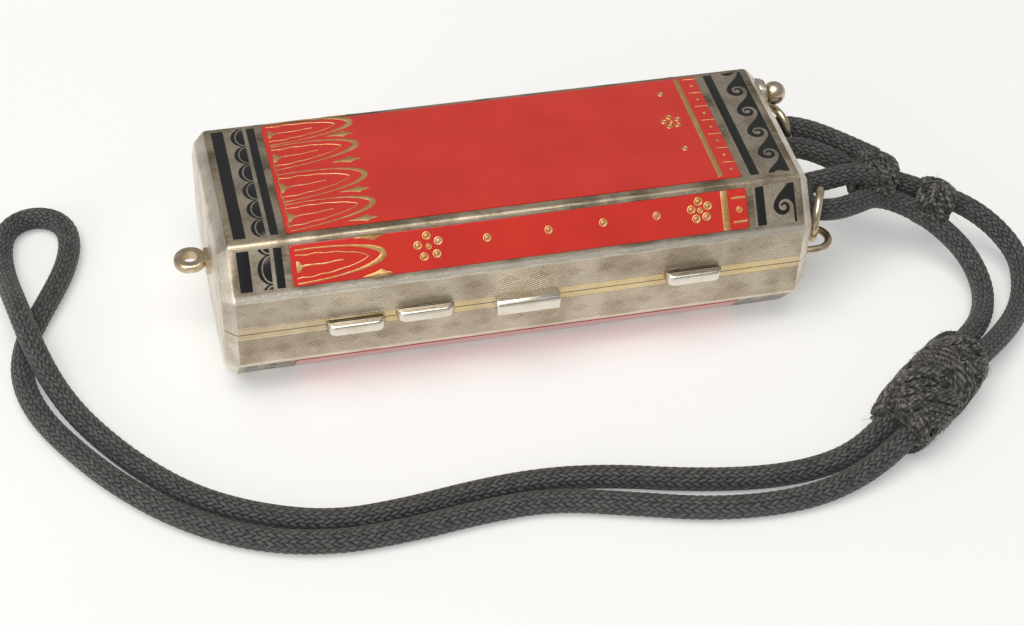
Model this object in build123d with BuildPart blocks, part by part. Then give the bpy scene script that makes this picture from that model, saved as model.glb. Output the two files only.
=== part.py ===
from build123d import *
import os
from math import hypot, radians, sin, cos, tan

os.makedirs("parts", exist_ok=True)

# An eight-sided vanity case for lip colour, powder and rouge, on a silk wrist cord. Millimetres.
# X runs along the case towards the cord, the front wall faces -Y, and Z is up.
# The origin is the centre of the face that the closed case rests on.

# ---- case ----
body_length = 80.0
end_rise = 1.6
end_inset = 1.5
case_depth = 34.8
case_height = 23.6
chamfer_run = 4.8
chamfer_drop = 6.0
wall = 1.0
seam_height = 11.8
seam_gap = 0.12
fit = 0.15

# ---- enamel ----
field_length = 0.8 * body_length
band_length = 0.0775 * body_length
band_margin = 0.9
top_front_strip = 1.2
top_back_strip = 0.6
slope_ridge_strip = 0.7
slope_wall_strip = 1.25
enamel_sink = 0.25
enamel_rise = 0.10

# ---- main hinge ----
hinge_stand = 0.4
knuckle_radius = 0.9
knuckle_length = 0.1775 * body_length
knuckle_gap = 0.2
knuckle_count = 5
hinge_pin_radius = 0.42
running_clearance = 0.03
knuckle_clearance = 0.12

# ---- inner lids and mirror ----
tray_drop = 2.0
well_length = body_length / 2 - 13.0
well_width = 23.6
well_floor = 2.2
well_inner_x = 10.6
trough_length = 24.4
trough_width = 8.2
inner_lid_drop = 0.65
inner_lid_thickness = 0.7
barrel_radius = 0.75
small_pin_radius = 0.35
ear_thickness = 1.6
ear_radius = 0.85
inner_axis_inset = 3.7
mirror_axis_inset = 3.1
mirror_lift = 0.5
mirror_thickness = 1.2
glass_length = body_length - 10.0
glass_width = 23.0
glass_thickness = 0.7
liner_gap = 0.5
liner_thickness = 0.6
cake_thickness = 1.8
puff_thickness = 1.5
puff_margin = 0.6
puff_corner = 3.0
puff_lift = 0.05
barrel_inner_margin = 1.9
barrel_outer_margin = 1.3
plate_gap = 0.25
plate_step = 0.05
inner_lid_front_gap = 0.2
inner_lid_overlap = 0.6
mirror_end_gap = 1.2
glass_play = 0.05
web_half = 0.35

# ---- finger tabs and clasp ----
tab_length = 8.0
tab_height = 1.75
tab_stand = 1.45
tab_neck = 5.0
tab_neck_thickness = 0.5
tab_neck_foot = 0.6
tab_corner = 0.7
tab_corner_bow = 0.3
tab_corner_run = 1.2
neck_offset = 0.4
powder_head_drop = 0.2
rouge_head_lift = 0.55
powder_tab_x = -0.2975 * body_length
mirror_tab_x = -0.1775 * body_length
rouge_tab_x = 0.3 * body_length
clasp_length = 9.0
clasp_height = 2.3
clasp_stand = 2.1
clasp_lift = 0.2
clasp_brow = 0.5
clasp_brow_drop = 0.4
clasp_lean = 0.1
clasp_bridge = 0.6
tongue_length = 5.0
tongue_thickness = 0.5
tongue_drop = 2.4
nib_radius = 0.2
spring_margin = 0.5
spring_thickness = 0.35
spring_foot = 0.5
spring_top_gap = 1.0
catch_room_margin = 3.0
catch_depth = 2.2

# ---- lip colour tube and pencil ----
lip_radius = 3.7
lip_wall = 0.5
lip_length = 24.0
lip_cap_length = 12.6
bullet_radius = 2.5
bullet_play = 0.05
bullet_length = 16.5
bullet_cut = 13.5
bullet_slant = 0.9
lip_play = 0.05
lip_floor = 1.0
lip_collar_length = 2.5
lip_cap_end = 0.6
carrier_room = 0.45
carrier_wall = 0.35
carrier_gap = 0.2
carrier_floor = 1.0
carrier_length = 9.0
pencil_radius = 1.5
sleeve_radius = 2.2
sleeve_bore = 1.58
sleeve_length = 0.75 * body_length
pencil_length = sleeve_length - 4.0
pencil_y = 10.3
pencil_z = 20.2
knob_radius = 1.75
knob_lift = 1.69
knob_cap_thickness = 0.4
knob_neck_length = 0.7
flange_thickness = 0.5
flange_step = 0.25
sleeve_floor = 1.0
pencil_point = 3.5

# ---- end fittings ----
eye_bore = 1.1
eye_wire = 1.2
eye_thickness = 1.4
eye_reach = 2.6
eye_round = 0.45
eye_neck_start = (1.5, 1.0)
eye_neck_end = (3.2, 1.2)
eye_neck_drop = 0.2
eye_foot_radius = 1.9
eye_foot_thickness = 0.6
eye_foot_drop = 0.5
staple_wire = 0.45
staple_half = 2.3
staple_y = 12.5
staple_reach = 4.3
staple_below_seam = 0.6
ring_radius = 3.5
ring_wire = 0.5
ring_turn = 25.0
ring_reach = 3.1
ring_clearance = 0.05

# ---- cord ----
cord_radius = 1.6
bend_share = 0.45
cord_points = [
    (57.8, -4.2, 13.6), (52.6, -3.5, 14.9), (48.0, -4.3, 14.8), (43.6, -4.6, 14.6),
    (43.6, -9.5, 14.2), (47.6, -9.7, 13.6), (51.8, -7.6, 12.4), (56.0, -4.8, 11.0),
    (60.8, -5.7, 9.2), (65.2, -7.7, 6.8), (68.8, -12.0, 4.2), (69.4, -17.8, 2.7),
    (67.3, -23.4, 2.6), (63.4, -28.4, 3.9), (58.4, -32.4, 4.9), (51.2, -38.2, 5.1),
    (44.0, -44.1, 4.4), (38.6, -46.6, 2.5), (32.0, -47.5, 1.7), (24.0, -47.2, 1.6),
    (15.0, -45.5, 1.6), (6.0, -43.0, 1.6), (-3.0, -41.8, 1.6), (-12.5, -42.2, 1.6),
    (-22.0, -43.5, 1.6), (-31.5, -43.8, 1.6), (-40.5, -40.9, 1.6), (-48.6, -36.1, 1.6),
    (-55.3, -29.1, 1.6), (-60.9, -20.9, 1.7), (-64.2, -14.4, 2.2), (-66.3, -9.0, 3.8),
    (-67.7, -3.8, 5.2), (-68.6, 1.2, 5.2), (-69.4, 6.6, 3.6), (-70.1, 12.0, 2.1),
    (-70.3, 16.6, 1.7), (-69.8, 20.7, 1.6), (-68.0, 23.4, 1.6), (-65.1, 24.4, 1.6),
    (-62.2, 23.4, 1.6), (-60.5, 20.8, 1.6), (-60.3, 16.9, 1.6), (-61.4, 12.3, 1.6),
    (-63.5, 7.4, 1.6), (-66.1, 2.2, 1.6), (-68.5, -3.6, 1.6),
    (-69.2, -9.8, 1.6), (-67.6, -16.6, 1.6), (-63.9, -23.6, 1.6), (-58.3, -31.6, 1.6),
    (-51.1, -39.0, 1.6), (-42.2, -44.7, 1.6), (-32.2, -47.3, 1.6), (-22.0, -47.0, 1.6),
    (-12.4, -45.8, 1.6), (-2.8, -45.5, 1.6), (7.2, -48.3, 1.6), (17.0, -51.2, 1.6),
    (26.0, -52.2, 1.6), (33.6, -51.6, 1.7), (40.4, -49.6, 2.6), (46.2, -46.7, 4.4),
    (53.4, -40.8, 5.1), (60.6, -34.9, 4.9), (66.7, -30.2, 3.9), (71.8, -25.0, 2.7),
    (75.2, -19.6, 2.5), (76.6, -13.9, 3.6), (74.4, -8.9, 5.6), (70.4, -5.6, 7.7),
    (65.4, -3.9, 9.3), (60.8, -2.1, 10.6), (56.4, -0.5, 11.2), (51.8, 1.6, 13.2),
    (47.6, 4.3, 14.1), (43.6, 4.7, 14.2), (43.6, 9.6, 14.2), (47.4, 9.3, 14.3),
    (51.8, 5.9, 14.4), (57.2, -0.4, 14.3),
]
inner_knot_at = Vector(56.4, -2.3, 12.5)
inner_knot_along = Vector(0.96, -0.18, -0.24)
inner_knot_sizes = (2.8, 3.9, 2.6)
outer_knot_at = Vector(65.3, -5.2, 8.4)
outer_knot_along = Vector(0.88, -0.38, -0.28)
outer_knot_sizes = (2.6, 3.8, 2.4)
bead_at = Vector(52.3, -39.5, 5.0)
bead_along = Vector(0.776, 0.63, 0.0)
bead_sizes = (9.2, 5.0, 3.7)

# ---- places that follow from the sizes ----
interior = body_length / 2
case_end = body_length / 2 + end_rise
base_rim = seam_height - seam_gap / 2
lid_rim = seam_height + seam_gap / 2
slope = hypot(chamfer_run, chamfer_drop)
front_wall = -case_depth / 2
hinge_y = case_depth / 2 + hinge_stand
tray_top = base_rim - tray_drop
inner_lid_top = base_rim - inner_lid_drop
inner_lid_low = inner_lid_top - inner_lid_thickness
inner_axis_y = case_depth / 2 - inner_axis_inset
inner_axis_z = inner_lid_top - barrel_radius / 2
mirror_low = lid_rim + mirror_lift
mirror_top = mirror_low + mirror_thickness
mirror_axis_y = case_depth / 2 - mirror_axis_inset
mirror_axis_z = mirror_low + mirror_thickness / 2
liner_low = mirror_top + liner_gap
staple_z = seam_height - staple_below_seam
ring_x = case_end + ring_reach
ring_y = staple_y - staple_half
ring_z = staple_z - staple_wire - ring_wire - ring_clearance + ring_radius
eye_x = -case_end - eye_reach
eye_z = seam_height - eye_thickness / 2 - fit
lip_z = well_floor + lip_radius
big = 3 * body_length


def octagon(inset):
    """Corners (y, z) of the case section, every side moved inwards by inset."""
    normal_y = chamfer_drop / slope
    normal_z = chamfer_run / slope
    reach = normal_y * case_depth / 2 + normal_z * (case_height - chamfer_drop) - inset
    side_y = case_depth / 2 - inset
    top_z = case_height - inset
    shoulder_z = (reach - normal_y * side_y) / normal_z
    top_y = (reach - normal_z * top_z) / normal_y
    upper = [(side_y, shoulder_z), (top_y, top_z), (-top_y, top_z), (-side_y, shoulder_z)]
    lower = [(y, case_height - z) for y, z in reversed(upper)]
    return upper + lower


def section(inset, x):
    """The case section as a face standing at x."""
    with BuildSketch(Plane.YZ.offset(x)) as face:
        Polygon(*octagon(inset), align=None)
    return face.sketch.face()


def case_body():
    """The closed outer form: a straight prism with a bevelled cap on each end."""
    extrude(section(0, -interior), amount=body_length)
    for side in (-1, 1):
        loft([section(0, side * interior), section(end_inset, side * case_end)])


def case_hollow(inset, half_length, mode=Mode.SUBTRACT):
    """A prism of the case section, inset all round."""
    extrude(section(inset, -half_length), amount=2 * half_length, mode=mode)


def block(x0, x1, y0, y1, z0, z1, mode=Mode.ADD):
    """A box between two corners."""
    with Locations(((x0 + x1) / 2, (y0 + y1) / 2, (z0 + z1) / 2)):
        Box(x1 - x0, y1 - y0, z1 - z0, mode=mode)


def rod(x0, x1, y, z, radius, mode=Mode.ADD):
    """A round bar along X."""
    with BuildSketch(Plane.YZ.offset(x0)) as circle:
        with Locations((y, z)):
            Circle(radius)
    extrude(circle.sketch, amount=x1 - x0, mode=mode)


def chamfer_plane(side, level):
    """Plane on the middle of a sloping face: side -1 front, 1 back; level 1 upper, -1 lower."""
    y = side * (case_depth - chamfer_run) / 2
    z = case_height / 2 + level * (case_height - chamfer_drop) / 2
    facing = (0, side * chamfer_drop / slope, level * chamfer_run / slope)
    return Plane(origin=(0, y, z), x_dir=(1, 0, 0), z_dir=facing)


def slab(face, x_middle, length, low, high, mode=Mode.ADD):
    """A flat pad on a face of the case, from low to high measured out of the face."""
    plane, width, shift = face
    with BuildSketch(plane.offset(low)) as outline:
        with Locations((x_middle, shift)):
            Rectangle(length, width)
    extrude(outline.sketch, amount=high - low, mode=mode)


top_width = case_depth - 2 * chamfer_run - top_front_strip - top_back_strip
top_shift = (top_front_strip - top_back_strip) / 2
slope_width = slope - slope_ridge_strip - slope_wall_strip
slope_shift = (slope_wall_strip - slope_ridge_strip) / 2
band_x = body_length / 2 - band_margin - band_length / 2
top_face = Plane(origin=(0, 0, case_height), x_dir=(1, 0, 0), z_dir=(0, 0, 1))
bottom_face = Plane(origin=(0, 0, 0), x_dir=(1, 0, 0), z_dir=(0, 0, -1))
lid_faces = {
    "top": (top_face, top_width, top_shift),
    "front": (chamfer_plane(-1, 1), slope_width, slope_shift),
    "back": (chamfer_plane(1, 1), slope_width, -slope_shift),
}
base_faces = {
    "bottom": (bottom_face, top_width, 0),
    "front": (chamfer_plane(-1, -1), slope_width, -slope_shift),
    "back": (chamfer_plane(1, -1), slope_width, slope_shift),
}


def enamel_recesses(faces):
    """Sink the enamel fields and the end bands into the outer faces of a shell."""
    for face in faces.values():
        for x_middle, length in ((0, field_length), (-band_x, band_length), (band_x, band_length)):
            slab(face, x_middle, length, -enamel_sink, wall, Mode.SUBTRACT)


def knuckle_middle(index):
    """X of one hinge knuckle, counted from the middle one."""
    return index * (knuckle_length + knuckle_gap)


half_count = knuckle_count // 2
base_knuckle_set = [i for i in range(-half_count, half_count + 1) if (i + half_count) % 2 == 0]
lid_knuckle_set = [i for i in range(-half_count, half_count + 1) if (i + half_count) % 2 == 1]


def knuckle_seats(own, other):
    """Hollow a shell's back wall: snug seats for its own knuckles, room for the other shell's."""
    for index in own:
        x0 = knuckle_middle(index) - knuckle_length / 2
        rod(x0, x0 + knuckle_length, hinge_y, seam_height, knuckle_radius, Mode.SUBTRACT)
    for index in other:
        x0 = knuckle_middle(index) - knuckle_length / 2 - knuckle_gap / 2
        room = knuckle_radius + knuckle_clearance
        rod(x0, x0 + knuckle_length + knuckle_gap, hinge_y, seam_height, room, Mode.SUBTRACT)


def knuckles(own):
    """The hinge knuckles of one shell, bored for the pin."""
    for index in own:
        x0 = knuckle_middle(index) - knuckle_length / 2
        x1 = x0 + knuckle_length
        rod(x0, x1, hinge_y, seam_height, knuckle_radius)
        rod(x0, x1, hinge_y, seam_height, hinge_pin_radius + running_clearance, Mode.SUBTRACT)


def finger_tab(x, middle_z, neck_z, root_y):
    """A boat-shaped finger tab outside the front wall, on a flat neck."""
    y_back = front_wall - fit
    half = tab_length / 2
    neck_half = tab_neck_thickness / 2
    with BuildSketch(Plane.XY.offset(middle_z - tab_height / 2)) as plan:
        with BuildLine():
            front = y_back - tab_stand
            corner = tab_stand * tab_corner
            Polyline((x + half, y_back), (x - half, y_back))
            ThreePointArc(
                (x - half, y_back),
                (x - half + corner * tab_corner_bow, y_back - corner),
                (x - half + corner * tab_corner_run, front),
            )
            Line((x - half + corner * tab_corner_run, front), (x + half - corner * tab_corner_run, front))
            ThreePointArc(
                (x + half - corner * tab_corner_run, front),
                (x + half - corner * tab_corner_bow, y_back - corner),
                (x + half, y_back),
            )
        make_face()
    extrude(plan.sketch, amount=tab_height)
    block(x - tab_neck / 2, x + tab_neck / 2, y_back - fit, root_y, neck_z - neck_half, neck_z + neck_half)


# ---- base ----

tab_neck_room = tab_neck + 2 * fit
powder_neck_z = base_rim - neck_offset
rouge_neck_z = lid_rim + neck_offset
mirror_neck_z = lid_rim + neck_offset
powder_head_z = base_rim - powder_head_drop
rouge_head_z = lid_rim + rouge_head_lift
clasp_middle_z = seam_height + clasp_lift

with BuildPart() as base_shell:
    case_body()
    case_hollow(wall, interior)
    block(-big, big, -big, big, base_rim, big, Mode.SUBTRACT)
    enamel_recesses(base_faces)
    knuckle_seats(base_knuckle_set, lid_knuckle_set)
    block(
        powder_tab_x - tab_neck_room / 2, powder_tab_x + tab_neck_room / 2,
        front_wall - wall, front_wall + 2 * wall,
        powder_neck_z - tab_neck_thickness / 2 - fit, big, Mode.SUBTRACT,
    )
    for side in (-1, 1):
        for leg in (-1, 1):
            leg_y = side * staple_y + leg * staple_half
            rod(case_end - wall, big, leg_y, staple_z, staple_wire, Mode.SUBTRACT)
base_shell.part.label = "base_shell"
export_step(base_shell.part, "parts/base_shell.step")

with BuildPart() as base_knuckles:
    knuckles(base_knuckle_set)
base_knuckles.part.label = "base_knuckles"
export_step(base_knuckles.part, "parts/base_knuckles.step")

for shell, faces in (("lid", lid_faces), ("base", base_faces)):
    for face_name, face in faces.items():
        rise = 0 if face_name == "bottom" else enamel_rise
        with BuildPart() as field:
            slab(face, 0, field_length, -enamel_sink, rise)
        field.part.label = f"{shell}_{face_name}_enamel"
        export_step(field.part, f"parts/{shell}_{face_name}_enamel.step")
    for end_name, end in (("left", -1), ("right", 1)):
        with BuildPart() as band:
            for face in faces.values():
                slab(face, end * band_x, band_length, -enamel_sink, 0)
        band.part.label = f"{shell}_{end_name}_band"
        export_step(band.part, f"parts/{shell}_{end_name}_band.step")

# ---- tray and what it holds ----

catch_room = tongue_length + catch_room_margin
catch_y = front_wall + wall + catch_depth
barrel_start = well_inner_x + barrel_inner_margin
barrel_end = well_inner_x + well_length - barrel_outer_margin


def ears(centres, axis_y, axis_z, foot_z):
    """A pair of pierced ears that carry a small hinge pin."""
    for x in centres:
        x0 = x - ear_thickness / 2
        rod(x0, x0 + ear_thickness, axis_y, axis_z, ear_radius)
        low = min(axis_z, foot_z)
        high = max(axis_z, foot_z)
        block(x0, x0 + ear_thickness, axis_y - ear_radius, axis_y + ear_radius, low, high)
        rod(x0, x0 + ear_thickness, axis_y, axis_z, small_pin_radius + running_clearance, Mode.SUBTRACT)


def inner_ears(side):
    """X of the two ears beside one inner lid's barrel."""
    off = fit + ear_thickness / 2
    return [side * (barrel_start - off), side * (barrel_end + off)]


with BuildPart() as compartment_tray:
    case_hollow(wall + fit, interior - fit, Mode.ADD)
    block(-big, big, -big, big, tray_top, big, Mode.SUBTRACT)
    for side in (-1, 1):
        middle = side * (well_inner_x + well_length / 2)
        block(
            middle - well_length / 2, middle + well_length / 2,
            -well_width / 2, well_width / 2, well_floor, big, Mode.SUBTRACT,
        )
    block(
        -trough_width / 2, trough_width / 2, -trough_length / 2, trough_length / 2,
        well_floor - fit, big, Mode.SUBTRACT,
    )
    block(-catch_room / 2, catch_room / 2, -big, catch_y, chamfer_drop, big, Mode.SUBTRACT)
    for side in (-1, 1):
        ears(inner_ears(side), inner_axis_y, inner_axis_z, tray_top)
compartment_tray.part.label = "compartment_tray"
export_step(compartment_tray.part, "parts/compartment_tray.step")

for name, side in (("powder", -1), ("rouge", 1)):
    middle = side * (well_inner_x + well_length / 2)
    half = well_length / 2 - fit
    with BuildPart() as cake:
        block(
            middle - half, middle + half, -well_width / 2 + fit, well_width / 2 - fit,
            well_floor, well_floor + cake_thickness,
        )
    cake.part.label = f"{name}_cake"
    export_step(cake.part, f"parts/{name}_cake.step")

with BuildPart() as powder_puff:
    middle = -(well_inner_x + well_length / 2)
    puff_low = well_floor + cake_thickness + puff_lift
    with BuildSketch(Plane.XY.offset(puff_low)):
        with Locations((middle, 0)):
            RectangleRounded(well_length - 2 * puff_margin, well_width - 2 * puff_margin, puff_corner)
    extrude(amount=puff_thickness)
powder_puff.part.label = "powder_puff"
export_step(powder_puff.part, "parts/powder_puff.step")

cap_join = lip_length / 2 - lip_cap_length


def lip_disc(radius, y0, y1, mode=Mode.ADD):
    """A round stretch of the lip colour tube, lying along Y."""
    with BuildSketch(Plane(origin=(0, y0, lip_z), x_dir=(1, 0, 0), z_dir=(0, 1, 0))) as circle:
        Circle(radius)
    extrude(circle.sketch, amount=y1 - y0, mode=mode)


lip_collar = lip_radius - lip_wall - lip_play
with BuildPart() as lipstick_tube:
    lip_disc(lip_radius, -lip_length / 2, cap_join)
    lip_disc(lip_collar, cap_join, cap_join + lip_collar_length)
    lip_disc(
        bullet_radius + carrier_room, -lip_length / 2 + lip_floor, cap_join + lip_collar_length,
        Mode.SUBTRACT,
    )
lipstick_tube.part.label = "lipstick_tube"
export_step(lipstick_tube.part, "parts/lipstick_tube.step")

with BuildPart() as lipstick_cap:
    lip_disc(lip_radius, cap_join + lip_play, lip_length / 2)
    lip_disc(lip_radius - lip_wall, cap_join, lip_length / 2 - lip_cap_end, Mode.SUBTRACT)
lipstick_cap.part.label = "lipstick_cap"
export_step(lipstick_cap.part, "parts/lipstick_cap.step")

carrier_start = -lip_length / 2 + lip_floor + carrier_gap
bullet_start = carrier_start + carrier_floor
with BuildPart() as lipstick_carrier:
    lip_disc(bullet_radius + carrier_wall, carrier_start, carrier_start + carrier_length)
    lip_disc(bullet_radius, bullet_start, carrier_start + carrier_length, Mode.SUBTRACT)
lipstick_carrier.part.label = "lipstick_carrier"
export_step(lipstick_carrier.part, "parts/lipstick_carrier.step")

with BuildPart() as lipstick_bullet:
    lip_disc(bullet_radius - bullet_play, bullet_start, bullet_start + bullet_length)
    tip = Plane(origin=(0, bullet_start + bullet_cut, lip_z + bullet_radius), z_dir=(0, 1, bullet_slant))
    split(bisect_by=tip, keep=Keep.BOTTOM)
lipstick_bullet.part.label = "lipstick_bullet"
export_step(lipstick_bullet.part, "parts/lipstick_bullet.step")

# ---- inner lids ----

lid_edge_y = front_wall + wall + inner_lid_front_gap
plate_back_y = inner_axis_y - ear_radius - plate_gap
for name, side, tab_x, head_z, neck_z in (
    ("powder", -1, powder_tab_x, powder_head_z, powder_neck_z),
    ("rouge", 1, rouge_tab_x, rouge_head_z, rouge_neck_z),
):
    inner_x = side * (well_inner_x - inner_lid_overlap)
    outer_x = side * (interior - 2 * fit)
    near_x = side * barrel_start
    far_x = side * barrel_end
    with BuildPart() as inner_lid:
        block(
            min(inner_x, outer_x), max(inner_x, outer_x), lid_edge_y, plate_back_y,
            inner_lid_low, inner_lid_top,
        )
        block(
            min(near_x, far_x), max(near_x, far_x), plate_back_y, inner_axis_y,
            inner_lid_low + plate_step, inner_lid_top,
        )
        rod(min(near_x, far_x), max(near_x, far_x), inner_axis_y, inner_axis_z, barrel_radius)
        rod(
            min(near_x, far_x), max(near_x, far_x), inner_axis_y, inner_axis_z,
            small_pin_radius + running_clearance, Mode.SUBTRACT,
        )
        finger_tab(tab_x, head_z, neck_z, lid_edge_y + tab_neck_foot)
        block(
            tab_x - tab_neck / 2, tab_x + tab_neck / 2, lid_edge_y, lid_edge_y + tab_neck_foot,
            inner_lid_low, neck_z + tab_neck_thickness / 2,
        )
    inner_lid.part.label = f"{name}_lid"
    export_step(inner_lid.part, f"parts/{name}_lid.step")

    ends = inner_ears(side)
    with BuildPart() as inner_pin:
        reach = ear_thickness / 2
        rod(min(ends) - reach, max(ends) + reach, inner_axis_y, inner_axis_z, small_pin_radius)
    inner_pin.part.label = f"{name}_lid_pin"
    export_step(inner_pin.part, f"parts/{name}_lid_pin.step")

# ---- mirror flap ----

mirror_half = interior - mirror_end_gap
mirror_front = front_wall + wall + mirror_end_gap
mirror_back = mirror_axis_y - ear_radius - plate_gap
mirror_barrel_half = body_length / 2 - 10.0
glass_y = (mirror_front + mirror_back) / 2
mirror_ears = [side * (mirror_barrel_half + fit + ear_thickness / 2) for side in (-1, 1)]

with BuildPart() as mirror_frame:
    block(-mirror_half, mirror_half, mirror_front, mirror_back, mirror_low, mirror_top)
    block(
        -glass_length / 2 - glass_play, glass_length / 2 + glass_play,
        glass_y - glass_width / 2 - glass_play, glass_y + glass_width / 2 + glass_play,
        mirror_low - mirror_thickness, mirror_low + glass_thickness, Mode.SUBTRACT,
    )
    block(
        -mirror_barrel_half, mirror_barrel_half, mirror_back, mirror_axis_y,
        mirror_axis_z - web_half, mirror_axis_z + web_half,
    )
    rod(-mirror_barrel_half, mirror_barrel_half, mirror_axis_y, mirror_axis_z, barrel_radius)
    rod(
        -mirror_barrel_half, mirror_barrel_half, mirror_axis_y, mirror_axis_z,
        small_pin_radius + running_clearance, Mode.SUBTRACT,
    )
    finger_tab(mirror_tab_x, rouge_head_z, mirror_neck_z, mirror_front + tab_neck_foot)
mirror_frame.part.label = "mirror_frame"
export_step(mirror_frame.part, "parts/mirror_frame.step")

with BuildPart() as mirror_glass:
    block(
        -glass_length / 2, glass_length / 2, glass_y - glass_width / 2, glass_y + glass_width / 2,
        mirror_low, mirror_low + glass_thickness,
    )
mirror_glass.part.label = "mirror_glass"
export_step(mirror_glass.part, "parts/mirror_glass.step")

with BuildPart() as mirror_hinge_pin:
    pin_half = max(mirror_ears) + ear_thickness / 2
    rod(-pin_half, pin_half, mirror_axis_y, mirror_axis_z, small_pin_radius)
mirror_hinge_pin.part.label = "mirror_hinge_pin"
export_step(mirror_hinge_pin.part, "parts/mirror_hinge_pin.step")

# ---- lid ----

with BuildPart() as lid_shell:
    case_body()
    case_hollow(wall, interior)
    block(-big, big, -big, big, -big, lid_rim, Mode.SUBTRACT)
    enamel_recesses(lid_faces)
    knuckle_seats(lid_knuckle_set, base_knuckle_set)
    for tab_x, neck_z in ((mirror_tab_x, mirror_neck_z), (rouge_tab_x, rouge_neck_z)):
        block(
            tab_x - tab_neck_room / 2, tab_x + tab_neck_room / 2,
            front_wall - wall, front_wall + 2 * wall,
            -big, neck_z + tab_neck_thickness / 2 + fit, Mode.SUBTRACT,
        )
    block(
        -tongue_length / 2, tongue_length / 2, front_wall - wall, front_wall + 2 * wall,
        -big, clasp_middle_z + clasp_bridge, Mode.SUBTRACT,
    )
    rod(interior - wall, big, pencil_y, pencil_z, sleeve_radius, Mode.SUBTRACT)
lid_shell.part.label = "lid_shell"
export_step(lid_shell.part, "parts/lid_shell.step")

with BuildPart() as lid_knuckles:
    knuckles(lid_knuckle_set)
lid_knuckles.part.label = "lid_knuckles"
export_step(lid_knuckles.part, "parts/lid_knuckles.step")

with BuildPart() as hinge_pin:
    pin_end = knuckle_middle(half_count) + knuckle_length / 2
    rod(-pin_end, pin_end, hinge_y, seam_height, hinge_pin_radius)
hinge_pin.part.label = "hinge_pin"
export_step(hinge_pin.part, "parts/hinge_pin.step")

with BuildPart() as lid_liner:
    liner_y = case_depth / 2 - wall - fit
    liner_x = interior - fit
    block(-liner_x, liner_x, -liner_y, liner_y, liner_low, liner_low + liner_thickness)
    ears(mirror_ears, mirror_axis_y, mirror_axis_z, liner_low)
lid_liner.part.label = "lid_liner"
export_step(lid_liner.part, "parts/lid_liner.step")

clasp_low = clasp_middle_z - clasp_height / 2
bridge_low = lid_rim + fit
bridge_top = clasp_middle_z + clasp_bridge
tongue_outer = front_wall + wall + fit
tongue_inner = tongue_outer + tongue_thickness
tongue_low = base_rim - tongue_drop
with BuildPart() as clasp:
    with BuildSketch(Plane.YZ.offset(-clasp_length / 2)) as profile:
        front = front_wall - clasp_stand
        with BuildLine():
            Polyline(
                (front_wall, clasp_low + clasp_height),
                (front + clasp_brow, clasp_low + clasp_height),
                (front, clasp_low + clasp_height - clasp_brow_drop),
                (front + clasp_lean, clasp_low),
                (front_wall - fit, clasp_low),
                (front_wall - fit, lid_rim),
                (front_wall, lid_rim),
                close=True,
            )
        make_face()
    extrude(profile.sketch, amount=clasp_length)
    block(
        -tongue_length / 2, tongue_length / 2, front_wall - fit, tongue_inner, bridge_low, bridge_top,
    )
    block(
        -tongue_length / 2, tongue_length / 2, tongue_outer, tongue_inner, tongue_low, bridge_top,
    )
    rod(-tongue_length / 2, tongue_length / 2, tongue_inner, tongue_low + 2 * nib_radius, nib_radius)
clasp.part.label = "clasp"
export_step(clasp.part, "parts/clasp.step")

with BuildPart() as catch_spring:
    leaf_y = tongue_inner + nib_radius + spring_thickness
    leaf_low = chamfer_drop
    leaf_top = base_rim - spring_top_gap
    half = tongue_length / 2 + spring_margin
    block(-half, half, leaf_y, leaf_y + spring_thickness, leaf_low, leaf_top)
    block(-half, half, leaf_y, catch_y, leaf_low, leaf_low + spring_foot)
    rod(-half, half, leaf_y, leaf_top - nib_radius, nib_radius)
catch_spring.part.label = "catch_spring"
export_step(catch_spring.part, "parts/catch_spring.step")

# ---- pencil in the lid ----

with BuildPart() as pencil_sleeve:
    sleeve_start = case_end - sleeve_length
    rod(sleeve_start, case_end, pencil_y, pencil_z, sleeve_radius)
    rod(case_end, case_end + flange_thickness, pencil_y, pencil_z, sleeve_radius + flange_step)
    rod(sleeve_start + sleeve_floor, big, pencil_y, pencil_z, sleeve_bore, Mode.SUBTRACT)
pencil_sleeve.part.label = "pencil_sleeve"
export_step(pencil_sleeve.part, "parts/pencil_sleeve.step")

pencil_end = case_end + flange_thickness
with BuildPart() as pencil:
    with BuildSketch(Plane.XY.offset(pencil_z)) as half_profile:
        with BuildLine():
            start = pencil_end - pencil_length
            Polyline(
                (start, pencil_y),
                (start + pencil_point, pencil_y + pencil_radius),
                (pencil_end, pencil_y + pencil_radius),
                (pencil_end, pencil_y),
                close=True,
            )
        make_face()
    revolve(half_profile.sketch, axis=Axis((0, pencil_y, pencil_z), (1, 0, 0)))
pencil.part.label = "pencil"
export_step(pencil.part, "parts/pencil.step")

knob_base = pencil_end + knob_cap_thickness
with BuildPart() as ball_knob:
    rod(pencil_end, knob_base, pencil_y, pencil_z, sleeve_radius)
    rod(pencil_end, knob_base + knob_neck_length, pencil_y, pencil_z, knob_radius / 2)
    with Locations((knob_base + knob_lift, pencil_y, pencil_z)):
        Sphere(knob_radius)
ball_knob.part.label = "ball_knob"
export_step(ball_knob.part, "parts/ball_knob.step")

# ---- end fittings ----

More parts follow.
